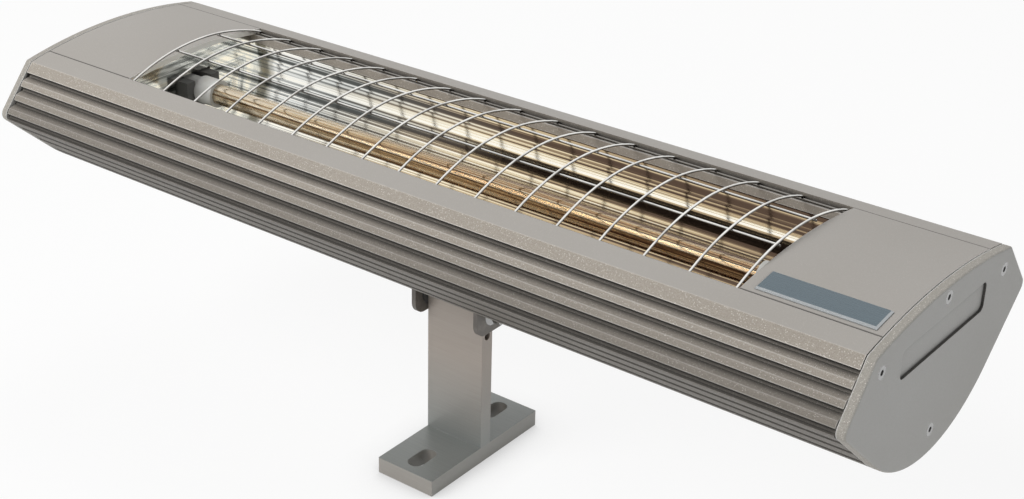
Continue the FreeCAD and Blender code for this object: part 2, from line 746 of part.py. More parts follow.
def make_end_cap(label, side):
    """Cast end cap: rounded edge, shallow bare recess and four countersunk holes."""
    body = new_body(label, belly_z)
    face = new_sketch(body, "face", "YZ_Plane", side * cap_face)
    outline(face, cap_outline())
    plate = pad(body, face, cap_thickness, back=side < 0)
    round_edges(
        body, plate,
        lambda point: near(abs(point.y), waist_half) and near(point.z, waist_height),
        waist_round)
    round_edges(
        body, body.Tip,
        lambda point: near(abs(point.y), shoulder_half) and near(point.z, shoulder_height),
        shoulder_round)
    recess = new_sketch(body, "recess", "YZ_Plane", side * outer_face)
    long_half = recess_length / 2
    half = recess_width / 2
    corner = recess_round
    outline(recess, [
        (corner - long_half, recess_height + half),
        (long_half - corner, recess_height + half, corner),
        (long_half, recess_height + half - corner),
        (long_half, recess_height - half + corner, corner),
        (long_half - corner, recess_height - half),
        (corner - long_half, recess_height - half, corner),
        (-long_half, recess_height - half + corner),
        (-long_half, recess_height + half - corner, corner),
    ])
    pocket(body, recess, recess_depth, back=side < 0)
    holes = new_sketch(body, "holes", "YZ_Plane", side * outer_face)
    sinks = new_sketch(body, "sinks", "YZ_Plane", side * outer_face)
    for across, height in cap_screws:
        circle(holes, across, height, screw_diameter + 2 * bore_gap)
        circle(sinks, across, height, screw_head + 2 * bore_gap)
    if side < 0:
        circle(holes, 0, gland_height, gland_stub + 2 * bore_gap)
    pocket(body, holes, cap_thickness, back=side < 0)
    sink = pocket(body, sinks, head_depth, back=side < 0)
    sink.setExpression("TaperAngle", countersink_taper(head_depth).text)
    round_edges(body, sink, lambda point: near(abs(point.x), outer_face) and on_rim(point), cap_round)
    return body


def on_rim(point):
    """True on the cap's outer edge, away from its recess and holes."""
    margin = screw_head.value / 2
    beside = abs(point.y) < recess_length.value / 2 + margin
    if beside and abs(point.z - recess_height.value) < recess_width.value / 2 + margin:
        return False
    holes = [(across.value, height.value, screw_head.value) for across, height in cap_screws]
    holes.append((0, gland_height.value, gland_stub.value))
    return all(
        math.hypot(point.y - across, point.z - height) > size * HOLE_REACH
        for across, height, size in holes)


def make_end_seal(label, side):
    """Flat gasket between the cap and the profile, open inside."""
    body = new_body(label, belly_z)
    ring = new_sketch(body, "ring", "YZ_Plane", side * seal_face)
    tangent = belly_tangent()
    share = (belly_radius - seal_inset) / belly_radius
    low = (tangent[0] * share, belly_radius + (tangent[1] - belly_radius) * share)
    outline(ring, [
        (shoulder_half - seal_inset, shoulder_height - seal_inset),
        (waist_half - waist_round, waist_height),
        low + (belly_radius - seal_inset,),
        (-low[0], low[1]),
        (waist_round - waist_half, waist_height),
        (seal_inset - shoulder_half, shoulder_height - seal_inset, crown_radius),
    ])
    inside = [(block_half, ledge_underside - wall / 2)] + cavity_side()
    outline(ring, mirrored(inside) + list(reversed(inside)))
    for across, height in cap_screws:
        circle(ring, across, height, screw_diameter + 2 * bore_gap)
    pad(body, ring, seal_thickness, back=side < 0)
    return body


def make_cap_screws(label, side):
    """Four countersunk socket screws, flush with the cap."""
    body = new_body(label, belly_z)
    sketches = [
        new_sketch(body, name, "YZ_Plane", side * outer_face)
        for name in ("shanks", "heads", "sockets")
    ]
    for across, height in cap_screws:
        circle(sketches[0], across, height, screw_diameter)
        circle(sketches[1], across, height, screw_head)
        hexagon(sketches[2], across, height, screw_socket)
    pad(body, sketches[0], screw_length, back=side > 0)
    heads = pad(body, sketches[1], head_depth, back=side > 0)
    heads.setExpression("TaperAngle", countersink_taper(head_depth).text)
    pocket(body, sketches[2], head_depth * socket_share, back=side < 0)
    return body


def make_cover(label, side):
    """Crowned cover plate on the ledges, with a screw rib under its outer end."""
    body = new_body(label, belly_z)
    section = new_sketch(body, "section", "YZ_Plane", side * mouth_length / 2)
    half = mouth_half - seam
    under = crown_radius - cover_thickness
    outline(section, [
        (half, on_crown(half)),
        (half, on_crown(half, cover_thickness), -under),
        (-half, on_crown(half, cover_thickness)),
        (-half, on_crown(half), crown_radius),
    ])
    pad(body, section, housing_length / 2 - mouth_length / 2, back=side < 0)
    rib = new_sketch(body, "rib", "YZ_Plane", side * seal_face)
    rectangle(
        rib,
        (-boss_half, top_screw_height - boss_half),
        (boss_half, on_crown(boss_half, cover_thickness / 2)))
    pad(body, rib, screw_length + boss_half, back=side > 0)
    hole = new_sketch(body, "hole", "YZ_Plane", side * seal_face)
    circle(hole, 0, top_screw_height, screw_diameter + 2 * bore_gap)
    pocket(body, hole, screw_length, back=side < 0)
    return body


def make_name_plate():
    """Blank plate with bevelled edges, bent to the crown of the right cover."""
    body = new_body("name_plate", belly_z)
    section = new_sketch(body, "section", "YZ_Plane", mouth_length / 2 + plate_inset)
    near_side = plate_setback + seam - mouth_half
    far_side = near_side + plate_width
    outer = crown_radius + plate_thickness
    outline(section, [
        (near_side, on_crown(near_side, -plate_thickness), outer),
        (far_side, on_crown(far_side, -plate_thickness)),
        (far_side, on_crown(far_side), -crown_radius),
        (near_side, on_crown(near_side)),
    ])
    plate = pad(body, section, plate_length)
    centre = crown_height - crown_radius

    def on_top(point):
        return near(math.hypot(point.y, point.z - centre.value), outer)

    round_edges(body, plate, on_top, plate_bevel, "Chamfer")
    return body


# Guard

def ledge_top(across):
    return on_crown(across, cover_thickness + seam)


def bow_radius():
    """Bow of the cross wires that leaves room for the edge wires between them and the ledges."""
    passing = ledge_top(edge_half) + (wire + weld_gap) * bow_room
    sag = crest_height - passing
    return (edge_half * edge_half + sag * sag) / (2 * sag)


def under_bow(across):
    """Height of a wire that lies right under the bowed cross wires."""
    bow = bow_radius()
    lower = bow - wire - weld_gap
    return crest_height - bow + root(lower * lower - across * across)


def sweep(body, spine, section):
    feature = body.newObject("PartDesign::AdditivePipe", f"{body.Name}_pipe")
    feature.Profile = section
    feature.Spine = (spine, [f"Edge{number + 1}" for number in range(spine.GeometryCount)])
    doc.recompute()
    return feature


def make_cross_wires():
    """Bowed cross wires with bent-down legs that stand on the ledges, in one row."""
    body = new_body("guard_cross_wires", belly_z)
    first = (1 - wire_count) * wire_pitch / 2
    foot = ledge_top(leg_half - wire / 2) + weld_gap
    bow = bow_radius()
    centre = crest_height - bow
    reach = bow - guard_bend
    inward = leg_half - guard_bend
    lift = root(reach * reach - inward * inward)
    joint = (inward * bow / reach, centre + lift * bow / reach)
    spine = new_sketch(body, "spine", "YZ_Plane", first)
    outline(spine, [
        (-leg_half, foot),
        (-leg_half, centre + lift, guard_bend),
        (-joint[0], joint[1], bow),
        joint + (guard_bend,),
        (leg_half, centre + lift),
        (leg_half, foot),
    ], closed=False)
    section = new_sketch(body, "section", "XY_Plane", foot)
    circle(section, first, -leg_half, wire)
    one = sweep(body, spine, section)
    pattern_copies(body, one, (origin(body, "X_Axis"), [""]), wire_count, wire_pitch)
    return body


def make_rods(label, places, length):
    """Straight wires along the heater, one at each place of its section."""
    body = new_body(label, belly_z)
    section = new_sketch(body, "section", "YZ_Plane")
    for across, height in places:
        circle(section, across, height, wire)
    pad(body, section, length, both=True)
    return body


def make_guard():
    make_cross_wires()
    row = (wire_count - 1) * wire_pitch + 2 * wire
    for label, half, length in (
            ("guard_long_wires", long_wire_half, row),
            ("guard_edge_wires", edge_half, mouth_length - 2 * weld_gap)):
        height = under_bow(half)
        make_rods(label, [(half, height), (-half, height)], length)


# Reflector and lamp

def make_reflector():
    """Faceted parabolic trough with flanges under the ledges."""
    body = new_body("reflector", belly_z)
    section = new_sketch(body, "section", "YZ_Plane")
    flange = block_half - seam
    face = []
    for step in range(-MIRROR_FACETS, MIRROR_FACETS + 1):
        across = mirror_half * step / MIRROR_FACETS
        face.append((across, mirror_vertex + across * across / (4 * focal)))
    back = [(across, height - mirror_sheet * mirror_back) for across, height in reversed(face)]
    outline(
        section,
        [(-flange, rim_height)] + face
        + [(flange, rim_height), (flange, rim_height - mirror_sheet)] + back
        + [(-flange, rim_height - mirror_sheet)])
    pad(body, section, mirror_end * 2, both=True)
    return body


def make_reflector_end(label, side):
    """End plate of the trough, raised between the ledges to the underside of the cover."""
    body = new_body(label, belly_z)
    face = new_sketch(body, "face", "YZ_Plane", side * mirror_end)
    half = block_half - seam
    middle = (rim_height + mirror_vertex) / 2
    low = mirror_vertex - end_plate_drop
    raised = ledge_half - hole_margin
    below = cover_thickness + seam
    outline(face, [
        (-half, rim_height),
        (-raised, rim_height),
        (-raised, on_crown(raised, below), crown_radius - below),
        (raised, on_crown(raised, below)),
        (raised, rim_height),
        (half, rim_height),
        (half, middle),
        (half / 2, low),
        (-half / 2, low),
        (-half, middle),
    ])
    window = holder_width / 2 + hole_margin
    rectangle(
        face,
        (-window, lamp_height - nose_drop - hole_margin),
        (window, lamp_height + nose_over + hole_margin))
    pad(body, face, mirror_sheet, back=side < 0)
    return body


def make_lamp():
    """Quartz tube and the filament inside it, held by support discs."""
    tube = new_body("lamp_tube", belly_z + lamp_height)
    ring = new_sketch(tube, "ring", "YZ_Plane")
    circle(ring, 0, 0, tube_diameter)
    circle(ring, 0, 0, tube_diameter - 2 * tube_wall)
    pad(tube, ring, tube_end * 2, both=True)
    filament = new_body("lamp_filament", belly_z + lamp_height)
    core = new_sketch(filament, "core", "YZ_Plane")
    circle(core, 0, 0, filament_diameter)
    pad(filament, core, tube_end * 2, both=True)
    supports = 2 * math.floor(lamp_cap_inner.value / support_pitch.value) + 1
    first = (1 - supports) * support_pitch / 2
    disc = new_sketch(filament, "disc", "YZ_Plane", first)
    circle(disc, 0, 0, tube_diameter - 2 * tube_wall - 2 * bore_gap)
    one = pad(filament, disc, support_width)
    pattern_copies(filament, one, (origin(filament, "X_Axis"), [""]), Size(supports), support_pitch)


def make_lamp_cap(label, side):
    """Ceramic lamp end: a collar bored for the tube, and a neck that lies in the holder."""
    body = new_body(label, belly_z + lamp_height)
    bore = tube_diameter / 2 + bore_gap
    depth = tube_end + bore_gap
    revolve(body, [
        (side * lamp_cap_inner, bore),
        (side * lamp_cap_inner, collar_diameter / 2),
        (side * collar_end, collar_diameter / 2),
        (side * collar_end, lamp_neck / 2),
        (side * lamp_cap_outer, lamp_neck / 2),
        (side * lamp_cap_outer, 0),
        (side * depth, 0),
        (side * depth, bore),
    ])
    return body


def make_lamp_holder(label, side):
    """Ceramic cradle open at the top: its seat on the bracket's shelf, its nose through the end plate."""
    body = new_body(label, belly_z)
    half = holder_width / 2
    slot = lamp_neck / 2 + bore_gap
    blocks = (
        ("seat", holder_inner, holder_length, holder_seat, lamp_height + holder_over),
        ("nose", collar_end + seam, holder_inner - collar_end - seam,
         lamp_height - nose_drop, lamp_height + nose_over),
    )
    for name, start, length, low, top in blocks:
        section = new_sketch(body, name, "YZ_Plane", side * start)
        outline(section, [
            (-half, low),
            (-half, top),
            (-slot, top),
            (-slot, lamp_height, -slot),
            (0, lamp_height - slot, -slot),
            (slot, lamp_height),
            (slot, top),
            (half, top),
            (half, low),
        ])
        pad(body, section, length, back=side < 0)
    return body


def make_holder_bracket(label, side):
    """Angle on the outside of the reflector's end plate."""
    body = new_body(label, belly_z)
    section = new_sketch(body, "section", "XZ_Plane")
    leg_top = lamp_height - nose_drop - hole_margin
    outline(section, [
        (side * plate_end, holder_seat - bracket_sheet),
        (side * lamp_cap_outer, holder_seat - bracket_sheet),
        (side * lamp_cap_outer, holder_seat),
        (side * (plate_end + bracket_sheet), holder_seat),
        (side * (plate_end + bracket_sheet), leg_top),
        (side * plate_end, leg_top),
    ])
    pad(body, section, holder_width, both=True)
    return body


# Supply

def make_terminal_block():
    """Three-way block on the floor rib, under the left cover."""
    body = new_body("terminal_block", belly_z)
    foot = new_sketch(body, "foot", "XY_Plane", rib_top)
    rectangle(foot, (-terminal_outer, -terminal_width / 2), (-terminal_inner, terminal_width / 2))
    pad(body, foot, terminal_height)
    wells = new_sketch(body, "wells", "XY_Plane", rib_top + terminal_height)
    for way in (-1, 0, 1):
        circle(wells, -terminal_inner - well_inset, way * well_pitch, well_diameter)
    pocket(body, wells, well_depth)
    return body


def make_lead(label, start, corners):
    """Insulated lead along a bent path in the heater's middle plane."""
    body = new_body(label, belly_z)
    spine = new_sketch(body, "spine", "XZ_Plane")
    outline(spine, corners, closed=False)
    section = new_sketch(body, "section", "YZ_Plane", start)
    circle(section, 0, lamp_height, lead_diameter)
    sweep(body, spine, section)
    return body


def make_leads():
    make_lead("lamp_lead_left", -lamp_cap_outer, [
        (-lamp_cap_outer, lamp_height),
        (lead_bend - lead_far, lamp_height, -lead_bend),
        (-lead_far, lamp_height - lead_bend),
        (-lead_far, rib_top + terminal_height),
    ])
    make_lead("lamp_lead_right", lamp_cap_outer, [
        (lamp_cap_outer, lamp_height),
        (lead_far - lead_bend, lamp_height, lead_bend),
        (lead_far, lamp_height - lead_bend),
        (lead_far, lead_level + lead_bend, lead_bend),
        (lead_far - lead_bend, lead_level),
        (-terminal_inner, lead_level),
    ])


def make_gland():
    """Cable gland in the left cap: body with hexagon, dome nut outside and lock nut inside."""
    level = belly_z + gland_height
    hex_face = outer_face + gland_hex_height
    body = new_body("gland_body", level)
    revolve(body, [
        (-gland_inner, gland_bore / 2),
        (-gland_inner, gland_stub / 2),
        (-outer_face, gland_stub / 2),
        (-hex_face, gland_stub / 2),
        (-hex_face, gland_bore / 2),
    ])
    flange = new_sketch(body, "flange", "YZ_Plane", -outer_face)
    hexagon(flange, Size(0), Size(0), gland_hex)
    circle(flange, 0, 0, gland_bore)
    pad(body, flange, gland_hex_height, back=True)
    dome = new_body("gland_dome_nut", level)
    dome_end = hex_face + gland_dome_length
    revolve(dome, [
        (-hex_face, gland_bore / 2),
        (-hex_face, gland_hex / 2),
        (gland_dome_length / 2 - dome_end, gland_hex / 2, -gland_dome_length),
        (-dome_end, gland_bore / 2 + gland_lip),
        (-dome_end, gland_bore / 2),
    ])
    nut = new_body("gland_lock_nut", level)
    ring = new_sketch(nut, "ring", "YZ_Plane", -cap_face)
    hexagon(ring, Size(0), Size(0), gland_hex)
    circle(ring, 0, 0, gland_stub + 2 * bore_gap)
    pad(nut, ring, gland_nut_height)


def build():
    make_bracket()
    make_saddle()
    make_saddle_screws()
    make_housing()
    make_name_plate()
    make_guard()
    make_reflector()
    make_lamp()
    make_terminal_block()
    make_leads()
    make_gland()
    for label, side in (("left", -1), ("right", 1)):
        make_pivot_bolt(f"pivot_bolt_{label}", side)
        make_pivot_washer(f"pivot_washer_{label}", side)
        make_end_cap(f"end_cap_{label}", side)
        make_end_seal(f"end_seal_{label}", side)
        make_cap_screws(f"cap_screws_{label}", side)
        make_cover(f"cover_plate_{label}", side)
        make_reflector_end(f"reflector_end_{label}", side)
        make_lamp_cap(f"lamp_cap_{label}", side)
        make_lamp_holder(f"lamp_holder_{label}", side)
        make_holder_bracket(f"holder_bracket_{label}", side)


def check_document():
    failed = [thing.Name for thing in doc.Objects if {"Invalid", "Error"} & set(thing.State)]
    if failed:
        raise RuntimeError(f"failed objects: {failed}")
    for body in doc.findObjects("PartDesign::Body"):
        if body.Shape.isNull() or not body.Shape.isValid() or not body.Shape.Solids:
            raise RuntimeError(f"bad shape: {body.Label}")


def write_parts():
    os.makedirs("parts", exist_ok=True)
    for body in doc.findObjects("PartDesign::Body"):
        body.Shape.exportStep(f"parts/{body.Label}.step")
        shape = body.Shape
        print(f"{body.Label}: {len(shape.Solids)} solids, {shape.Volume:.0f} mm3, {shape.BoundBox}")


build()
doc.recompute()
check_document()
write_parts()
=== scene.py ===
"""Looks of an infrared heater on a tilting bracket, laid out as an add-on and run as a script."""

import math

import bmesh
import bpy
from bpy.props import FloatProperty, FloatVectorProperty, PointerProperty
from mathutils import Matrix, Vector


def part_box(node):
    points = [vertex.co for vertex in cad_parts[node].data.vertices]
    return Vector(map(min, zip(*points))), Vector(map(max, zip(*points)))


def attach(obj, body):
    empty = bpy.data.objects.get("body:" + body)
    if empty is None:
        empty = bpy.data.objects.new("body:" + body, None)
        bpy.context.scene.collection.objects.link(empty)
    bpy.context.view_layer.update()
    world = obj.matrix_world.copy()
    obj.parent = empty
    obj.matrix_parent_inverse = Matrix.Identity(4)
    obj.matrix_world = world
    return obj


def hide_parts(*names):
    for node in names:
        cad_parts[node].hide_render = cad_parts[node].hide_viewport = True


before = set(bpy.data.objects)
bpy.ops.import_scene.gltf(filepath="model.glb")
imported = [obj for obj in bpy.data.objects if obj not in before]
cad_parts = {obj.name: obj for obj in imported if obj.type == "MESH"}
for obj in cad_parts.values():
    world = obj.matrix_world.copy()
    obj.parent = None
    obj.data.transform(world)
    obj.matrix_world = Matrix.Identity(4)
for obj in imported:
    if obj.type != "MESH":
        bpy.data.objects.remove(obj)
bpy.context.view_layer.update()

bl_info = {
    "name": "Infrared Heater",
    "version": (1, 0, 0),
    "blender": (4, 5, 0),
    "location": "View3D > Sidebar > Heater",
    "description": "Dresses the heater's frame with its finishes, lamp coil and studio",
    "category": "Object",
}

MM = 0.001

# Range that a noise texture mostly keeps to
NOISE_LOW = 0.3
NOISE_HIGH = 0.7

# Rays spent on each rounded edge and on each look for grooves
EDGE_SAMPLES = 6
GROOVE_SAMPLES = 8

# Heights on the housing, as shares of the profile's height: its waist, where its painted shade is
# darkest, the place from which it is fully lit without painted shade, and the shoulder, above which
# it is plain
WAIST = 0.6
LIT_FROM = 0.88
SHOULDER = 0.97

# How strongly the painted shade in the grooves under the waist is deepened
UNDER_SHADE_POWER = 9

# Height above the bracket's foot over which its painted cooler, darker shade fades
FOOT_FADE = 50 * MM

# Half the length of the mouth, over which the lamp and the reflector shift their tone as painted
# light and shade
MOUTH_HALF = 0.17

# Heat tint, which also stands in as painted reflection for the gold lamp: the place on X where it
# starts on the trough and on the end plates, and its spread
TINT_FROM = -0.13
ENDS_TINT_FROM = 0.1
TINT_SPREAD = 0.12

# Stretch of the rolling lines, painted as streaks of reflection, on the trough and on the end
# plates, and the least one of the broad waves between them; less draws them out longer
TROUGH_LINES = (0.0015, 1, 1)
ENDS_LINES = (1, 0.02, 0.3)
LEAST_STRETCH = 0.012

# Filament wire: steps of one turn, sides of its section, and its dark and pale tone
TURN_STEPS = 12
WIRE_SIDES = 6
TUNGSTEN_TONES = ((0.16, 0.155, 0.15), (0.34, 0.33, 0.31))

# Bare bevels of the blank plate
BEVEL_TONE = (0.42, 0.44, 0.45)

# Moulded materials: dark tone, pale tone and least roughness
MOULDINGS = {
    "gasket_rubber": ((0.03, 0.029, 0.028), (0.06, 0.058, 0.055), 0.5),
    "washer_plastic": ((0.02, 0.02, 0.021), (0.05, 0.05, 0.052), 0.4),
    "gland_plastic": ((0.018, 0.018, 0.019), (0.045, 0.045, 0.047), 0.38),
    "lead_silicone": ((0.62, 0.6, 0.56), (0.74, 0.72, 0.68), 0.5),
    "flag_cloth": ((0.01, 0.01, 0.01), (0.02, 0.02, 0.02), 0.8),
}

# Studio: name, place, size and power setting of each light, and where they aim
SOFT_LIGHTS = (
    ("key_light", (-0.85, -1.4, 1.5), 1.1, "key_power"),
    ("back_light", (-0.4, 1.0, 1.7), 1.2, "back_power"),
    ("side_light", (1.9, -0.2, 0.8), 1.2, "side_power"),
)
LIGHTS_AIM = (0, 0, 0.12)

# Studio: the camera's sensor in millimetres, half sizes of the floor and the dark card, the card's
# place, and how white the floor looks
SENSOR_WIDTH = 36
FLOOR_HALVES = (12, 12, 1, 1)
FLAG_HALVES = (0.9, 0.12, 1, 1)
FLAG_PLACE = (-0.1, -0.6, 1.45)
FLOOR_WHITE = 0.88


# Settings

class CoatSettings(bpy.types.PropertyGroup):
    """Powder coat of the housing, its end caps and cover plates."""

    tint: FloatVectorProperty(
        name="Coat", description="Main colour of the powder coat", subtype="COLOR",
        default=(0.432, 0.415, 0.393), min=0, max=1)
    cap_tint: FloatVectorProperty(
        name="Cap coat", description="Cooler colour of the cast end caps", subtype="COLOR",
        default=(0.425, 0.427, 0.42), min=0, max=1)
    # Painted light: the sides get a warmer tone than the top of the same coat, as light falls on
    # them
    painted_side_warmth: FloatVectorProperty(
        name="Side warmth", description="Shares of the coat's channels that its sides keep",
        default=(1.0, 0.94, 0.862), min=0, max=1)
    bare: FloatVectorProperty(
        name="Bare metal", description="Uncoated edges and underside of the cover plates",
        subtype="COLOR", default=(0.86, 0.85, 0.82), min=0, max=1)
    # The metal flakes are real, but are painted as bright glints that show only on the sides, where
    # light grazes them
    fleck: FloatVectorProperty(
        name="Fleck", description="Colour of the metal flakes in the coat", subtype="COLOR",
        default=(0.95, 0.92, 0.86), min=0, max=1)
    grain: FloatProperty(
        name="Grain size", description="Width of one grain of the coat", unit="LENGTH",
        default=0.45 * MM, min=0.05 * MM)
    grain_depth: FloatProperty(
        name="Grain contrast", description="How much darker the hollows of the grain are",
        subtype="FACTOR", default=0.26, min=0, max=1)
    flecks: FloatProperty(
        name="Flecks", description="Share of the grains that hold a bright flake", subtype="FACTOR",
        default=0.13, min=0, max=1)
    # Painted shade: the coat's colour is darkened in its grooves, where shade falls, down to
    # groove_shade of itself
    groove: FloatProperty(
        name="Groove reach", description="Width of grooves that look darker", unit="LENGTH",
        default=8 * MM, min=0.1 * MM)
    groove_shade: FloatProperty(
        name="Groove shade", description="Share of the coat's colour left deep in a groove",
        subtype="FACTOR", default=0.04, min=0, max=1)
    # Painted shade: below the waist the coat keeps only this share of its colour, fading back to
    # full at LIT_FROM
    painted_low_shade: FloatProperty(
        name="Low shade", description="Share of the coat's colour left below the waist",
        subtype="FACTOR", default=0.42, min=0, max=1)
    # Painted shade: a dark line along the covers' long edges, where shade falls in their seams with
    # the rails
    seam_shade: FloatProperty(
        name="Seam shade", description="Share of the coat's colour left along the covers' seams",
        subtype="FACTOR", default=0.2, min=0, max=1)
    # This radius also sets the painted highlight along convex edges, which reaches twice as far
    edge: FloatProperty(
        name="Edge radius", description="Roundness that the coat gives to sharp edges",
        unit="LENGTH", default=0.4 * MM, min=0)


class MetalSettings(bpy.types.PropertyGroup):
    """Bare and plated metals."""

    bracket: FloatVectorProperty(
        name="Bracket", description="Satin anodised bracket", subtype="COLOR",
        default=(0.385, 0.338, 0.297), min=0, max=1)
    # Painted shade: the foot, most on its upward faces, and the post low down take this darker,
    # cooler tone of the same bracket
    bracket_foot_shade: FloatVectorProperty(
        name="Bracket foot", description="Cooler tone of the bracket's foot", subtype="COLOR",
        default=(0.265, 0.278, 0.268), min=0, max=1)
    foot: FloatProperty(
        name="Foot", description="Thickness of the bracket's foot", unit="LENGTH",
        default=9 * MM, min=0)
    saddle: FloatVectorProperty(
        name="Saddle", description="Coated sheet of the pivot saddle", subtype="COLOR",
        default=(0.15, 0.138, 0.125), min=0, max=1)
    plated: FloatVectorProperty(
        name="Plated steel", description="Saddle screws and inner brackets", subtype="COLOR",
        default=(0.55, 0.55, 0.54), min=0, max=1)
    screw: FloatVectorProperty(
        name="Screw steel", description="Pivot bolts and screws of the end caps", subtype="COLOR",
        default=(0.40, 0.40, 0.395), min=0, max=1)
    wire: FloatVectorProperty(
        name="Guard wire", description="Polished guard wire", subtype="COLOR",
        default=(0.86, 0.85, 0.82), min=0, max=1)
    # Painted shade: colour of the underside of the wires, against their painted bright tops
    wire_under_shade: FloatVectorProperty(
        name="Tarnish", description="Tarnished underside of the guard wire", subtype="COLOR",
        default=(0.15, 0.14, 0.13), min=0, max=1)
    wire_dull: FloatVectorProperty(
        name="Edge wire", description="Duller wire along the rails", subtype="COLOR",
        default=(0.3, 0.285, 0.265), min=0, max=1)
    # The reflector's tones paint its reflections: its dark and pale rolling lines are painted
    # streaks of reflection, and its gold is heat tint that also stands in for the reflected gold
    # lamp
    mirror: FloatVectorProperty(
        name="Mirror", description="Polished reflector sheet", subtype="COLOR",
        default=(1.0, 0.958, 0.85), min=0, max=1)
    silver_dark: FloatVectorProperty(
        name="Dark silver", description="Darkest rolling lines of the cool part", subtype="COLOR",
        default=(0.09, 0.095, 0.09), min=0, max=1)
    silver: FloatVectorProperty(
        name="Silver", description="Middle tone of the cool part of the reflector", subtype="COLOR",
        default=(0.45, 0.46, 0.44), min=0, max=1)
    silver_pale: FloatVectorProperty(
        name="Pale silver", description="Pale rolling lines of the cool part", subtype="COLOR",
        default=(0.84, 0.85, 0.82), min=0, max=1)
    tint: FloatVectorProperty(
        name="Heat tint", description="Gold tint of the hot part of the reflector", subtype="COLOR",
        default=(0.34, 0.25, 0.155), min=0, max=1)
    tint_mid: FloatVectorProperty(
        name="Middle tint", description="Gold between the dark and pale rolling lines",
        subtype="COLOR", default=(0.6, 0.47, 0.29), min=0, max=1)
    tint_dark: FloatVectorProperty(
        name="Dark tint", description="Darkest rolling lines of the hot part", subtype="COLOR",
        default=(0.10, 0.066, 0.046), min=0, max=1)
    tint_pale: FloatVectorProperty(
        name="Pale tint", description="Pale rolling lines of the hot part", subtype="COLOR",
        default=(0.9, 0.79, 0.56), min=0, max=1)
    plate: FloatVectorProperty(
        name="Blank plate", description="Face of the blank plate", subtype="COLOR",
        default=(0.12, 0.152, 0.172), min=0, max=1)


class LampSettings(bpy.types.PropertyGroup):
    """The lamp and the pieces that hold it."""

    glass: FloatVectorProperty(
        name="Tube", description="Gold-brown coat of the quartz tube", subtype="COLOR",
        default=(0.38, 0.22, 0.112), min=0, max=1)
    # Painted reflection: the tube's dark and pale lines and its glint stand for streaks of
    # reflection on the coat
    glass_dark: FloatVectorProperty(
        name="Dark tube", description="Ruby lines of the tube's coat", subtype="COLOR",
        default=(0.08, 0.028, 0.016), min=0, max=1)
    glass_pale: FloatVectorProperty(
        name="Pale tube", description="Gold lines of the tube's coat", subtype="COLOR",
        default=(0.76, 0.6, 0.36), min=0, max=1)
    painted_glint: FloatVectorProperty(
        name="Glint", description="Brightest lines of the tube's coat", subtype="COLOR",
        default=(1.0, 0.9, 0.72), min=0, max=1)
    ceramic: FloatVectorProperty(
        name="Ceramic", description="Lamp ends and terminal block", subtype="COLOR",
        default=(0.66, 0.66, 0.64), min=0, max=1)
    holder: FloatVectorProperty(
        name="Holder", description="Dark ceramic of the lamp holders", subtype="COLOR",
        default=(0.11, 0.11, 0.105), min=0, max=1)
    coil_diameter: FloatProperty(
        name="Coil", description="Outer diameter of the filament coil", unit="LENGTH",
        default=2.6 * MM, min=0.5 * MM)
    coil_wire: FloatProperty(
        name="Coil wire", description="Diameter of the filament wire", unit="LENGTH",
        default=0.42 * MM, min=0.1 * MM)
    coil_pitch: FloatProperty(
        name="Coil pitch", description="Distance between turns of the filament", unit="LENGTH",
        default=1.1 * MM, min=0.2 * MM)
    ring_pitch: FloatProperty(
        name="Support pitch", description="Distance between the filament's support rings",
        unit="LENGTH", default=36 * MM, min=5 * MM)


class StageSettings(bpy.types.PropertyGroup):
    """Camera, floor and light."""

    camera_place: FloatVectorProperty(
        name="Camera", description="Place of the camera", subtype="TRANSLATION", unit="LENGTH",
        default=(0.50183, -0.64114, 0.52901))
    camera_turn: FloatVectorProperty(
        name="Camera turn", description="Turn of the camera about X, Y and Z", subtype="EULER",
        unit="ROTATION",
        default=(math.radians(63.24), math.radians(0.38), math.radians(40.243)))
    lens: FloatProperty(
        name="Lens", description="Focal length in millimetres on a 36 mm sensor",
        default=64.66, min=1)
    shift_x: FloatProperty(
        name="Shift X", description="Sideways shift of the picture", default=0.1167)
    shift_y: FloatProperty(
        name="Shift Y", description="Upright shift of the picture", default=-0.0034)
    floor: FloatVectorProperty(
        name="Floor", description="Colour of the floor", subtype="COLOR",
        default=(0.92, 0.92, 0.915), min=0, max=1)
    painted_contact_shadow: FloatProperty(
        name="Contact shadow", description="Reach of the shadow close to the foot", unit="LENGTH",
        default=25 * MM, min=0)
    key_power: FloatProperty(
        name="Key light", description="Power of the main soft light", subtype="POWER",
        default=34, min=0)
    back_power: FloatProperty(
        name="Back light", description="Power of the soft light from behind", subtype="POWER",
        default=10, min=0)
    side_power: FloatProperty(
        name="Side light", description="Power of the soft light at the right end", subtype="POWER",
        default=8, min=0)
    sky: FloatProperty(
        name="Sky", description="Strength of the even light from all around", default=0.2, min=0)


# Node helpers

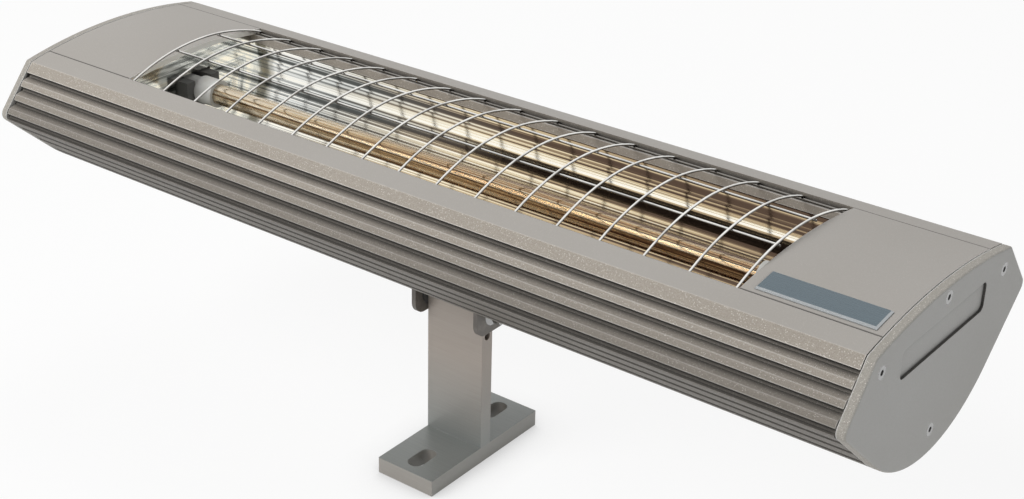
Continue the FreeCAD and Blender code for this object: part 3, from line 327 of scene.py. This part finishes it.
class Finish:
    """A material being put together from nodes, with its shader at hand."""

    def __init__(self, name):
        self.material = bpy.data.materials.new(name)
        self.material.use_nodes = True
        self.tree = self.material.node_tree
        self.shader = self.tree.nodes["Principled BSDF"]

    def node(self, kind, **settings):
        """A node with its own settings."""
        made = self.tree.nodes.new(kind)
        for name, value in settings.items():
            setattr(made, name, value)
        return made

    def link(self, source, target):
        """Lead one socket into another."""
        self.tree.links.new(source, target)

    def colour(self, source):
        """Lead a colour into the shader."""
        self.link(source, self.shader.inputs["Base Color"])

    def roughness(self, noise, low, high):
        """Roughness that swings with a noise."""
        self.link(self.swing(noise, low, high), self.shader.inputs["Roughness"])

    def set(self, **values):
        """Values on the shader's own sockets, with underscores for spaces."""
        for name, value in values.items():
            self.shader.inputs[name.replace("_", " ")].default_value = value

    def coords(self, scale=(1, 1, 1)):
        """Object coordinates, stretched."""
        source = self.node("ShaderNodeTexCoord")
        mapping = self.node("ShaderNodeMapping")
        mapping.inputs["Scale"].default_value = scale
        self.link(source.outputs["Object"], mapping.inputs["Vector"])
        return mapping.outputs["Vector"]

    def noise(self, vector, scale, detail=2.0, roughness=0.5):
        """A noise between 0 and 1, with so many waves to a metre."""
        texture = self.node("ShaderNodeTexNoise")
        texture.inputs["Scale"].default_value = scale
        texture.inputs["Detail"].default_value = detail
        texture.inputs["Roughness"].default_value = roughness
        self.link(vector, texture.inputs["Vector"])
        return texture.outputs["Fac"]

    def ramp(self, factor, stops):
        """A colour ramp through (place, colour) stops."""
        ramp = self.node("ShaderNodeValToRGB")
        elements = ramp.color_ramp.elements
        while len(elements) < len(stops):
            elements.new(1)
        for element, (place, colour) in zip(elements, stops):
            element.position = place
            element.color = tuple(colour) + (1,)
        self.link(factor, ramp.inputs["Fac"])
        return ramp.outputs["Color"]

    def span(self, factor, low, high, to_low, to_high):
        """A value carried from one range to another, held at its ends."""
        node = self.node("ShaderNodeMapRange")
        limits = {"From Min": low, "From Max": high, "To Min": to_low, "To Max": to_high}
        for name, value in limits.items():
            node.inputs[name].default_value = value
        self.link(factor, node.inputs["Value"])
        return node.outputs["Result"]

    def swing(self, noise, low, high):
        """The usual range of a noise, carried to another range."""
        return self.span(noise, NOISE_LOW, NOISE_HIGH, low, high)

    def mix(self, factor, first, second):
        """Two colours mixed; each is a socket or a plain colour."""
        node = self.node("ShaderNodeMix", data_type="RGBA")
        self.link(factor, node.inputs["Factor"])
        for name, colour in (("A", first), ("B", second)):
            socket = next(s for s in node.inputs if s.name == name and s.type == "RGBA")
            if isinstance(colour, bpy.types.NodeSocket):
                self.link(colour, socket)
            else:
                socket.default_value = tuple(colour) + (1,)
        return next(s for s in node.outputs if s.type == "RGBA")

    def part(self, colour, name):
        """One channel of a colour."""
        split = self.node("ShaderNodeSeparateColor")
        self.link(colour, split.inputs["Color"])
        return split.outputs[name]

    def along(self, axis):
        """Place along one of the object's axes."""
        split = self.node("ShaderNodeSeparateXYZ")
        self.link(self.coords(), split.inputs["Vector"])
        return split.outputs[axis]

    def facing(self, axis):
        """How far the surface faces along one of the object's axes."""
        source = self.node("ShaderNodeTexCoord")
        split = self.node("ShaderNodeSeparateXYZ")
        self.link(source.outputs["Normal"], split.inputs["Vector"])
        return split.outputs[axis]

    def math(self, operation, first, second):
        """Two values put together by a named operation."""
        node = self.node("ShaderNodeMath", operation=operation)
        self.link(first, node.inputs[0])
        self.link(second, node.inputs[1])
        return node.outputs["Value"]

    def times(self, first, second):
        """The product of two values."""
        return self.math("MULTIPLY", first, second)

    def size(self, value):
        """A value without its sign."""
        node = self.node("ShaderNodeMath", operation="ABSOLUTE")
        self.link(value, node.inputs[0])
        return node.outputs["Value"]

    def openness(self, reach, own_mesh=True):
        """How open the surface lies within a reach: 1 on a flat, 0 deep in a groove or corner."""
        node = self.node(
            "ShaderNodeAmbientOcclusion", samples=GROOVE_SAMPLES, only_local=own_mesh)
        node.inputs["Distance"].default_value = reach
        return node.outputs["AO"]

    def rounded(self, radius):
        """The direction of the surface, with its edges rounded by a radius."""
        bevel = self.node("ShaderNodeBevel", samples=EDGE_SAMPLES)
        bevel.inputs["Radius"].default_value = radius
        return bevel.outputs["Normal"]

    def sharpness(self, radius):
        """1 close to an edge of the mesh and 0 away from it."""
        plain = self.node("ShaderNodeNewGeometry")
        match = self.node("ShaderNodeVectorMath", operation="DOT_PRODUCT")
        self.link(self.rounded(radius), match.inputs[0])
        self.link(plain.outputs["Normal"], match.inputs[1])
        return self.span(match.outputs["Value"], 0.955, 0.997, 1, 0)

    def bump(self, height, depth, strength, edge=0.0):
        """Relief of a given depth in metres, over edges rounded by a radius."""
        bump = self.node("ShaderNodeBump")
        bump.inputs["Strength"].default_value = strength
        bump.inputs["Distance"].default_value = depth
        self.link(height, bump.inputs["Height"])
        if edge:
            self.link(self.rounded(edge), bump.inputs["Normal"])
        self.link(bump.outputs["Normal"], self.shader.inputs["Normal"])


def wear(material, *names):
    """Give a material to CAD nodes."""
    for name in names:
        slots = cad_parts[name].data.materials
        slots.clear()
        slots.append(material)


def pair(name):
    """The names of a left and a right node."""
    return f"{name}_left", f"{name}_right"


def new_piece(name, mesh, material, body):
    """A finished mesh as a piece of the heater."""
    data = bpy.data.meshes.new(name)
    bmesh.ops.recalc_face_normals(mesh, faces=mesh.faces)
    mesh.to_mesh(data)
    mesh.free()
    data.materials.append(material)
    piece = bpy.data.objects.new(name, data)
    bpy.context.scene.collection.objects.link(piece)
    for polygon in data.polygons:
        polygon.use_smooth = True
    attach(piece, body)
    return piece


def row_of(piece, count, pitch, merge=0):
    """Repeat a piece along the heater."""
    row = piece.modifiers.new("row", "ARRAY")
    row.count = count
    row.use_relative_offset = False
    row.use_constant_offset = True
    row.constant_offset_displace = (pitch, 0, 0)
    row.use_merge_vertices = merge > 0
    row.merge_threshold = merge


# Finishes

def coat_finish(name, settings, tint, plain_axis, fade=None, seam=None):
    """Fine-textured powder coat, with painted shade in its grooves and painted highlights on its
    edges.

    Its grain, painted side warmth and painted glints show little on faces along plain_axis. A fade
    gives the heights of the profile's waist, below which its painted shade is darkest, of the place
    from which it is fully lit without painted shade, and of its shoulder. A seam gives the half
    width of a cover plate, along whose long edges painted shade runs, and which is bare metal at
    its cut edges and underneath.
    """
    finish = Finish(name)
    place = finish.coords()
    grain = finish.noise(place, 1 / settings.grain, detail=3, roughness=0.6)
    # Painted light on the sides: warmer tone, and grain shade and flake glints that show only there
    painted_sides = painted_side_share(finish, plain_axis, fade)
    lively = coat_colour(finish, settings, tint, place, grain, painted_sides)
    open_share = finish.openness(settings.groove)
    # Painted highlight: convex edges on the sides lightened to 1.7 times the coat's colour
    outer = finish.span(open_share, 0.75, 0.95, 0, 0.8)
    painted_edge_highlight = finish.times(finish.times(finish.sharpness(2 * settings.edge), outer), painted_sides)
    lit = finish.mix(painted_edge_highlight, lively, [min(1, channel * 1.7) for channel in tint])
    # Painted shade: the coat's colour deep in its grooves
    deep = [channel * 0.1 for channel in tint]
    coat = finish.mix(coat_shade(finish, settings, open_share, fade, seam), deep, lit)
    if seam:
        bare = bare_share(finish)
        coat = finish.mix(bare, coat, settings.bare)
        finish.link(bare, finish.shader.inputs["Metallic"])
    finish.colour(coat)
    finish.roughness(grain, 0.6, 0.45)
    finish.set(Specular_IOR_Level=0.12)
    finish.bump(grain, 0.05 * MM, strength=0.5, edge=settings.edge)
    return finish.material


def painted_side_share(finish, plain_axis, fade):
    """Share of the painted side look, with its warmer tone, grain shade and flake glints: little on
    plain faces, all of it on the sides and below the shoulder.
    """
    painted_sides = finish.span(finish.size(finish.facing(plain_axis)), 0.72, 0.9, 1, 0.15)
    if fade:
        shoulder = fade[-1]
        below = finish.span(finish.along("Z"), shoulder - 1.5 * MM, shoulder, 1, 0)
        painted_sides = finish.math("MAXIMUM", painted_sides, below)
    return painted_sides


def coat_colour(finish, settings, tint, place, grain, painted_sides):
    """The coat with its hollows, cloudy drift and flakes; its sides get a painted warmer tone, and
    only there do the hollows show as painted grain shade and the flakes as painted glints.
    """
    warm = [channel * share for channel, share in zip(tint, settings.painted_side_warmth)]
    hollow = [channel * (1 - settings.grain_depth) for channel in warm]
    speck = finish.times(painted_sides, finish.span(grain, 0.35, 0.62, 1, 0))
    body = finish.mix(speck, finish.mix(painted_sides, tint, warm), hollow)
    cloud = finish.noise(place, 9)
    drift = finish.mix(finish.span(cloud, 0.35, 0.65, 0, 0.2), body, hollow)
    return finish.mix(finish.times(flakes(finish, place, settings), painted_sides), drift, settings.fleck)


def coat_shade(finish, settings, open_share, fade, seam):
    """Share of the coat's colour left as painted shade in grooves, below the waist and along a
    cover's seams.
    """
    shade = finish.span(open_share, 0.45, 0.97, settings.groove_shade, 1)
    if fade:
        waist, lit_from, _ = fade
        # Painted shade below the waist, still deeper in the grooves there
        height = finish.along("Z")
        deepened = finish.span(height, waist - 2 * MM, waist, UNDER_SHADE_POWER, 1)
        shade = finish.math("POWER", shade, deepened)
        shade = finish.times(shade, finish.span(height, waist, lit_from, settings.painted_low_shade, 1))
    if seam:
        # Painted shade along the cover's long edges, at its seams
        across = finish.size(finish.along("Y"))
        line = finish.span(across, seam - 0.9 * MM, seam - 0.3 * MM, 1, settings.seam_shade)
        shade = finish.times(shade, line)
    return shade


def bare_share(finish):
    """1 on the cut edges and underside of a cover plate, where its coat ends."""
    cut = finish.span(finish.size(finish.facing("X")), 0.6, 0.8, 0, 1)
    under = finish.span(finish.facing("Z"), -0.4, -0.2, 1, 0)
    return finish.math("MAXIMUM", cut, under)


def flakes(finish, place, settings):
    """Share of bright flake at each place: a small spot in some of the cells; the flakes are real,
    their brightness a painted glint.
    """
    cells = finish.node("ShaderNodeTexVoronoi")
    cells.inputs["Scale"].default_value = 1 / settings.grain
    finish.link(place, cells.inputs["Vector"])
    lot = finish.part(cells.outputs["Color"], "Red")
    chosen = finish.span(lot, 1 - settings.flecks, 1.01 - settings.flecks, 0, 0.75)
    return finish.times(chosen, finish.span(cells.outputs["Distance"], 0.25, 0.45, 1, 0))


def anodised_finish(metal):
    """Satin extruded aluminium with faint drawing lines along X, and painted cooler, darker shade
    towards its foot and on the foot's upward faces.
    """
    finish = Finish("anodised_aluminium")
    foot = metal.foot
    lines = finish.noise(finish.coords(scale=(0.02, 1, 1)), 2600)
    fine = finish.noise(finish.coords(), 3800)
    height = finish.along("Z")
    # Painted shade by facing and height: upward faces and the post low down take the foot's darker
    # tone
    level = finish.span(finish.facing("Z"), 0.5, 0.9, 0, 1)
    above = finish.span(height, foot - 1 * MM, foot, 0, 1)
    side = finish.span(finish.size(finish.facing("X")), 0.5, 0.9, 0.45, 0.7)
    cool = finish.math("MAXIMUM", finish.math("MAXIMUM", level, above), side)
    low = finish.times(finish.span(height, foot, foot + FOOT_FADE, 1, 0), cool)
    tone = finish.mix(low, metal.bracket, metal.bracket_foot_shade)
    pale = finish.mix(finish.swing(lines, 0, 0.035), tone, (1, 1, 1))
    finish.colour(pale)
    finish.roughness(fine, 0.36, 0.48)
    finish.set(Metallic=0.3)
    finish.bump(lines, 0.012 * MM, strength=0.45, edge=0.4 * MM)
    return finish.material


def sheet_finish(colour):
    """Dark coated steel sheet, a little rubbed."""
    finish = Finish("coated_sheet")
    place = finish.coords()
    grain = finish.noise(place, 2200, detail=3)
    rubbed = finish.noise(place, 160, detail=4)
    pale = [channel * 1.7 for channel in colour]
    worn = finish.span(rubbed, 0.5, 0.75, 0, 0.6)
    finish.colour(finish.mix(worn, colour, pale))
    finish.roughness(grain, 0.35, 0.55)
    finish.set(Metallic=0.5)
    finish.bump(grain, 0.05 * MM, strength=0.6, edge=0.3 * MM)
    return finish.material


def plated_finish(name, colour):
    """Plated steel with a soft cloudy sheen."""
    finish = Finish(name)
    place = finish.coords()
    cloud = finish.noise(place, 420, detail=4)
    fine = finish.noise(place, 5200)
    dull = [channel * 0.72 for channel in colour]
    finish.colour(finish.mix(cloud, dull, colour))
    finish.roughness(cloud, 0.2, 0.36)
    finish.set(Metallic=1.0)
    finish.bump(fine, 0.01 * MM, strength=0.6, edge=0.15 * MM)
    return finish.material


def wire_finish(name, bright, dark):
    """Drawn and polished wire with a painted highlight on top and painted shade underneath, the
    border between them wavy at random.
    """
    finish = Finish(name)
    scratches = finish.noise(finish.coords(scale=(1, 0.15, 1)), 2400, detail=3)
    heat = finish.noise(finish.coords(), 45)
    # Painted highlight on top and painted shade underneath, by how far the wire faces up; the heat
    # noise only makes their border wavy
    above = finish.math("ADD", finish.facing("Z"), finish.swing(heat, -0.25, 0.25))
    tone = finish.mix(finish.span(above, 0.15, 0.9, 0, 1), dark, bright)
    finish.colour(tone)
    finish.roughness(scratches, 0.12, 0.26)
    finish.set(Metallic=1.0)
    finish.bump(scratches, 0.008 * MM, strength=0.5)
    return finish.material


def mirror_finish(name, metal, stretch, gold_from):
    """Mirror sheet with fine rolling lines painted as streaks of reflection, silver up to a place
    on X and gold on from there, the gold being heat tint and painted reflection of the gold lamp;
    lighter at its left end and darker towards its right end as painted reflection.
    """
    finish = Finish(name)
    lines = finish.noise(finish.coords(scale=stretch), 640, detail=4, roughness=0.7)
    broad = [max(share, LEAST_STRETCH) for share in stretch]
    waves = finish.noise(finish.coords(scale=broad), 110)
    tone = finish.math("ADD", lines, finish.swing(waves, -0.1, 0.1))
    along = finish.along("X")
    # Painted reflection: the silver lighter at the far left and darker past it, the gold darker
    # towards the right end
    painted_left_light = finish.span(along, -MOUTH_HALF, -0.11, 0.05, -0.045)
    far = finish.span(along, -0.02, MOUTH_HALF, 0.01, -0.09)
    silver = finish.ramp(finish.math("ADD", tone, painted_left_light), (
        (0.38, metal.silver_dark), (0.46, metal.silver), (0.54, metal.silver_pale),
        (0.62, metal.mirror)))
    gold = finish.ramp(finish.math("ADD", tone, far), (
        (0.4, metal.tint_dark), (0.46, metal.tint), (0.51, metal.tint_mid),
        (0.56, metal.tint_pale), (0.61, metal.mirror)))
    reach = finish.math("ADD", along, finish.swing(waves, -0.04, 0.04))
    heat = finish.span(reach, gold_from, gold_from + TINT_SPREAD, 0, 1)
    finish.colour(finish.mix(heat, silver, gold))
    finish.roughness(lines, 0.16, 0.07)
    finish.set(Metallic=1.0)
    finish.bump(tone, 0.05 * MM, strength=0.6)
    return finish.material


def plate_finish(colour):
    """Satin blue-grey plate whose bevels are bare bright metal."""
    finish = Finish("blank_plate")
    brush = finish.noise(finish.coords(scale=(0.04, 1, 1)), 3200)
    flat = finish.span(finish.facing("Z"), 0.86, 0.95, 0, 1)
    pale = [channel * 1.25 for channel in colour]
    face = finish.mix(brush, colour, pale)
    finish.colour(finish.mix(flat, BEVEL_TONE, face))
    finish.roughness(brush, 0.24, 0.34)
    finish.set(Metallic=0.85)
    finish.bump(brush, 0.01 * MM, strength=0.6)
    return finish.material


def quartz_finish(lamp):
    """Quartz tube under a ruby-gold heat coat, with fine lines painted on it as streaks of
    reflection and glints, lighter towards its left end and darker towards its right as painted
    light and shade.
    """
    finish = Finish("coated_quartz")
    lines = finish.noise(finish.coords(scale=(0.004, 1, 1)), 800, detail=3, roughness=0.65)
    # Painted light and shade: the tube lighter towards its left end and darker towards its right
    far = finish.span(finish.along("X"), -MOUTH_HALF, MOUTH_HALF, 0.07, -0.065)
    tone = finish.ramp(finish.math("ADD", lines, far), (
        (0.36, lamp.glass_dark), (0.45, lamp.glass), (0.53, lamp.glass_pale), (0.6, lamp.painted_glint)))
    finish.colour(tone)
    finish.roughness(lines, 0.03, 0.09)
    finish.set(IOR=1.46, Transmission_Weight=0.8, Metallic=0.4)
    finish.bump(lines, 0.02 * MM, strength=0.5)
    return finish.material


def ceramic_finish(name, colour):
    """Matt pressed ceramic with fine pits."""
    finish = Finish(name)
    place = finish.coords()
    pits = finish.noise(place, 1500, detail=4)
    stain = finish.noise(place, 90, detail=3)
    dusty = [channel * share for channel, share in zip(colour, (0.86, 0.83, 0.78))]
    finish.colour(finish.mix(finish.span(stain, 0.45, 0.7, 0, 0.7), colour, dusty))
    finish.roughness(pits, 0.5, 0.68)
    finish.bump(pits, 0.05 * MM, strength=0.7, edge=0.3 * MM)
    return finish.material


def tungsten_finish():
    """Dark drawn tungsten wire."""
    finish = Finish("tungsten")
    grain = finish.noise(finish.coords(), 2600, detail=3)
    finish.colour(finish.mix(grain, *TUNGSTEN_TONES))
    finish.roughness(grain, 0.28, 0.42)
    finish.set(Metallic=1.0)
    return finish.material


def moulded_finish(name):
    """Rubber, plastic or cloth with a fine matt skin."""
    low, high, rough = MOULDINGS[name]
    finish = Finish(name)
    skin = finish.noise(finish.coords(), 1800, detail=3)
    finish.colour(finish.mix(skin, low, high))
    finish.roughness(skin, rough, rough + 0.12)
    finish.bump(skin, 0.03 * MM, strength=0.7, edge=0.3 * MM)
    return finish.material


# Operators

class HEATER_OT_housing(bpy.types.Operator):
    """Powder coat on profile, end caps and covers, rubber in their seams, and the blank plate"""

    bl_idname = "heater.housing"
    bl_label = "Finish housing"

    def execute(self, context):
        coat = context.scene.heater_coat
        low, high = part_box("housing_profile")
        fade = [low.lerp(high, share).z for share in (WAIST, LIT_FROM, SHOULDER)]
        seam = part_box("cover_plate_left")[1].y
        wear(coat_finish("powder_coat", coat, coat.tint, "Z", fade=fade), "housing_profile")
        wear(coat_finish("cover_coat", coat, coat.tint, "Z", seam=seam), *pair("cover_plate"))
        wear(coat_finish("cap_coat", coat, coat.cap_tint, "X"), *pair("end_cap"))
        wear(moulded_finish("gasket_rubber"), *pair("end_seal"))
        wear(plate_finish(context.scene.heater_metal.plate), "name_plate")
        return {"FINISHED"}


class HEATER_OT_bracket(bpy.types.Operator):
    """Anodised bracket, coated saddle, bolts, washers, screws and the holders' brackets"""

    bl_idname = "heater.bracket"
    bl_label = "Finish bracket and fasteners"

    def execute(self, context):
        metal = context.scene.heater_metal
        wear(anodised_finish(metal), "wall_bracket")
        wear(sheet_finish(metal.saddle), "pivot_saddle")
        plated = plated_finish("plated_steel", metal.plated)
        wear(plated, "saddle_screws", *pair("holder_bracket"))
        steel = plated_finish("screw_steel", metal.screw)
        wear(steel, *pair("pivot_bolt"), *pair("cap_screws"))
        wear(moulded_finish("washer_plastic"), *pair("pivot_washer"))
        return {"FINISHED"}


class HEATER_OT_guard(bpy.types.Operator):
    """Polished wire guard"""

    bl_idname = "heater.guard"
    bl_label = "Finish guard"

    def execute(self, context):
        metal = context.scene.heater_metal
        polished = wire_finish("polished_wire", metal.wire, metal.wire_under_shade)
        wear(polished, "guard_cross_wires", "guard_long_wires")
        dull = wire_finish("dull_wire", metal.wire_dull, metal.wire_under_shade)
        wear(dull, "guard_edge_wires")
        return {"FINISHED"}


class HEATER_OT_reflector(bpy.types.Operator):
    """Mirror sheet on the reflector and its end plates"""

    bl_idname = "heater.reflector"
    bl_label = "Finish reflector"

    def execute(self, context):
        metal = context.scene.heater_metal
        wear(mirror_finish("mirror_sheet", metal, TROUGH_LINES, TINT_FROM), "reflector")
        ends = mirror_finish("mirror_end", metal, ENDS_LINES, ENDS_TINT_FROM)
        wear(ends, *pair("reflector_end"))
        return {"FINISHED"}


class HEATER_OT_lamp(bpy.types.Operator):
    """Coated quartz tube with its ceramic ends and holders, and the terminal block"""

    bl_idname = "heater.lamp"
    bl_label = "Finish lamp"

    def execute(self, context):
        lamp = context.scene.heater_lamp
        wear(quartz_finish(lamp), "lamp_tube")
        white = ceramic_finish("white_ceramic", lamp.ceramic)
        wear(white, *pair("lamp_cap"), "terminal_block")
        wear(ceramic_finish("grey_ceramic", lamp.holder), *pair("lamp_holder"))
        return {"FINISHED"}


class HEATER_OT_filament(bpy.types.Operator):
    """Wound filament with support rings, in place of its plain core"""

    bl_idname = "heater.filament"
    bl_label = "Wind filament"

    def execute(self, context):
        lamp = context.scene.heater_lamp
        low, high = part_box("lamp_filament")
        middle = (low + high) / 2
        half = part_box("lamp_cap_right")[0].x
        tungsten = tungsten_finish()
        turns = round(2 * half / lamp.coil_pitch)
        turn = bmesh.new()
        start = Vector((-half, middle.y, middle.z))
        self.spin_wire(turn, lamp, start, lamp.coil_diameter / 2, lamp.coil_pitch)
        coil = new_piece("filament_coil", turn, tungsten, "heater")
        row_of(coil, turns, lamp.coil_pitch, merge=lamp.coil_wire / 50)
        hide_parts("lamp_filament")
        rings = bmesh.new()
        count = 2 * math.floor(half / lamp.ring_pitch) + 1
        first = Vector(((1 - count) * lamp.ring_pitch / 2, middle.y, middle.z))
        for radius in (high.z - middle.z, lamp.coil_diameter / 2 + lamp.coil_wire):
            self.spin_wire(rings, lamp, first, radius, 0)
        supports = new_piece("filament_supports", rings, tungsten, "heater")
        row_of(supports, count, lamp.ring_pitch)
        return {"FINISHED"}

    def spin_wire(self, mesh, lamp, centre, outer_radius, advance):
        """One turn of wire round the lamp's axis, closed if it doesn't advance."""
        wire_radius = lamp.coil_wire / 2
        upright = Matrix.Rotation(math.pi / 2, 4, "X")
        place = Matrix.Translation(centre + Vector((0, 0, outer_radius - wire_radius))) @ upright
        section = bmesh.ops.create_circle(
            mesh, segments=WIRE_SIDES, radius=wire_radius, matrix=place)
        edges = list({edge for vert in section["verts"] for edge in vert.link_edges})
        bmesh.ops.spin(
            mesh, geom=section["verts"] + edges, cent=centre, axis=(1, 0, 0),
            dvec=(advance / TURN_STEPS, 0, 0), angle=math.tau, steps=TURN_STEPS,
            use_merge=not advance)


class HEATER_OT_supply(bpy.types.Operator):
    """Cable gland and lamp leads"""

    bl_idname = "heater.supply"
    bl_label = "Finish supply"

    def execute(self, context):
        plastic = moulded_finish("gland_plastic")
        wear(plastic, "gland_body", "gland_dome_nut", "gland_lock_nut")
        wear(moulded_finish("lead_silicone"), *pair("lamp_lead"))
        return {"FINISHED"}


class HEATER_OT_stage(bpy.types.Operator):
    """Camera, pale floor and soft studio light"""

    bl_idname = "heater.stage"
    bl_label = "Set stage"

    def execute(self, context):
        stage = context.scene.heater_stage
        context.scene.view_settings.view_transform = "Standard"
        self.add_camera(context, stage)
        self.add_floor(context, stage)
        self.light_world(context, stage)
        for name, place, size, power in SOFT_LIGHTS:
            self.add_soft_light(context, name, place, size, getattr(stage, power))
        self.add_flag(context)
        return {"FINISHED"}

    def add_camera(self, context, stage):
        """The camera that the picture is taken with."""
        data = bpy.data.cameras.new("camera")
        data.sensor_width = SENSOR_WIDTH
        data.lens = stage.lens
        data.shift_x = stage.shift_x
        data.shift_y = stage.shift_y
        camera = bpy.data.objects.new("camera", data)
        camera.location = stage.camera_place
        camera.rotation_euler = stage.camera_turn
        context.scene.collection.objects.link(camera)
        context.scene.camera = camera

    def add_floor(self, context, stage):
        """A wide floor whose own colour is lifted towards white, with the shadow kept and a painted
        contact shadow close to the heater.
        """
        floor = self.add_card(context, "floor", Matrix.Diagonal(FLOOR_HALVES))
        finish = Finish("pale_floor")
        mottle = finish.noise(finish.coords(), 30)
        pale = [channel * 1.02 for channel in stage.floor]
        finish.colour(finish.mix(mottle, stage.floor, pale))
        finish.set(Roughness=0.9, Specular_IOR_Level=0.1)
        glow = finish.node("ShaderNodeEmission")
        # Painted contact shadow: the floor's glow dims where the heater stands close
        painted_contact_shadow = finish.openness(stage.painted_contact_shadow, own_mesh=False)
        finish.link(finish.span(painted_contact_shadow, 0.4, 0.95, 0.6, 1), glow.inputs["Strength"])
        mix = finish.node("ShaderNodeMixShader")
        output = finish.tree.nodes["Material Output"]
        finish.link(self.seen_share(finish.tree, FLOOR_WHITE), mix.inputs["Fac"])
        finish.link(finish.shader.outputs["BSDF"], mix.inputs[1])
        finish.link(glow.outputs["Emission"], mix.inputs[2])
        finish.link(mix.outputs["Shader"], output.inputs["Surface"])
        floor.data.materials.append(finish.material)

    def add_card(self, context, name, place):
        """A flat square, stretched and put in its place by a matrix."""
        mesh = bmesh.new()
        bmesh.ops.create_grid(mesh, x_segments=1, y_segments=1, size=1, matrix=place)
        data = bpy.data.meshes.new(name)
        mesh.to_mesh(data)
        mesh.free()
        card = bpy.data.objects.new(name, data)
        context.scene.collection.objects.link(card)
        return card

    def seen_share(self, tree, share):
        """A share for rays from the camera, mirrors or glass, and nothing for the rest."""
        path = tree.nodes.new("ShaderNodeLightPath")
        total = path.outputs["Is Camera Ray"]
        for name in ("Is Glossy Ray", "Is Transmission Ray"):
            larger = tree.nodes.new("ShaderNodeMath")
            larger.operation = "MAXIMUM"
            tree.links.new(total, larger.inputs[0])
            tree.links.new(path.outputs[name], larger.inputs[1])
            total = larger.outputs["Value"]
        scaled = tree.nodes.new("ShaderNodeMath")
        scaled.operation = "MULTIPLY"
        scaled.inputs[1].default_value = share
        tree.links.new(total, scaled.inputs[0])
        return scaled.outputs["Value"]

    def light_world(self, context, stage):
        """White where it is seen, and a weaker even light on the object."""
        world = bpy.data.worlds.new("studio")
        world.use_nodes = True
        tree = world.node_tree
        even = tree.nodes["Background"]
        even.inputs["Strength"].default_value = stage.sky
        seen = tree.nodes.new("ShaderNodeBackground")
        seen.inputs["Color"].default_value = (1, 1, 1, 1)
        even.inputs["Color"].default_value = (1, 1, 1, 1)
        mix = tree.nodes.new("ShaderNodeMixShader")
        tree.links.new(self.seen_share(tree, 1.0), mix.inputs["Fac"])
        tree.links.new(even.outputs["Background"], mix.inputs[1])
        tree.links.new(seen.outputs["Background"], mix.inputs[2])
        tree.links.new(mix.outputs["Shader"], tree.nodes["World Output"].inputs["Surface"])
        context.scene.world = world

    def add_soft_light(self, context, name, place, size, power):
        """A square soft light that faces the heater."""
        data = bpy.data.lights.new(name, "AREA")
        data.size = size
        data.energy = power
        light = bpy.data.objects.new(name, data)
        light.visible_glossy = False
        light.location = place
        aim = Vector(LIGHTS_AIM) - light.location
        light.rotation_euler = aim.to_track_quat("-Z", "Y").to_euler()
        context.scene.collection.objects.link(light)

    def add_flag(self, context):
        """A dark card over the heater that only mirrors see, as photographers use for metal."""
        place = Matrix.Translation(FLAG_PLACE) @ Matrix.Diagonal(FLAG_HALVES)
        flag = self.add_card(context, "flag", place)
        flag.visible_camera = False
        flag.visible_diffuse = False
        flag.visible_shadow = False
        flag.data.materials.append(moulded_finish("flag_cloth"))


OPERATORS = (
    HEATER_OT_housing,
    HEATER_OT_bracket,
    HEATER_OT_guard,
    HEATER_OT_reflector,
    HEATER_OT_lamp,
    HEATER_OT_filament,
    HEATER_OT_supply,
    HEATER_OT_stage,
)


class HEATER_PT_panel(bpy.types.Panel):
    """Lists the heater's operators in the sidebar."""

    bl_idname = "HEATER_PT_panel"
    bl_label = "Heater"
    bl_space_type = "VIEW_3D"
    bl_region_type = "UI"
    bl_category = "Heater"

    def draw(self, context):
        """One button for each operator."""
        for operator in OPERATORS:
            self.layout.operator(operator.bl_idname)


SETTINGS = {
    "heater_coat": CoatSettings,
    "heater_metal": MetalSettings,
    "heater_lamp": LampSettings,
    "heater_stage": StageSettings,
}


def register():
    """Make the settings, operators and panel known."""
    for group in SETTINGS.values():
        bpy.utils.register_class(group)
    for name, group in SETTINGS.items():
        setattr(bpy.types.Scene, name, PointerProperty(type=group))
    for kind in OPERATORS + (HEATER_PT_panel,):
        bpy.utils.register_class(kind)


def unregister():
    """Take the panel, operators and settings away again."""
    for kind in reversed(OPERATORS + (HEATER_PT_panel,)):
        bpy.utils.unregister_class(kind)
    for name in SETTINGS:
        delattr(bpy.types.Scene, name)
    for group in SETTINGS.values():
        bpy.utils.unregister_class(group)


def main():
    """Dress the frame and set the stage."""
    register()
    bpy.ops.heater.housing()
    bpy.ops.heater.bracket()
    bpy.ops.heater.guard()
    bpy.ops.heater.reflector()
    bpy.ops.heater.lamp()
    bpy.ops.heater.filament()
    bpy.ops.heater.supply()
    bpy.ops.heater.stage()


if __name__ == "__main__":
    main()
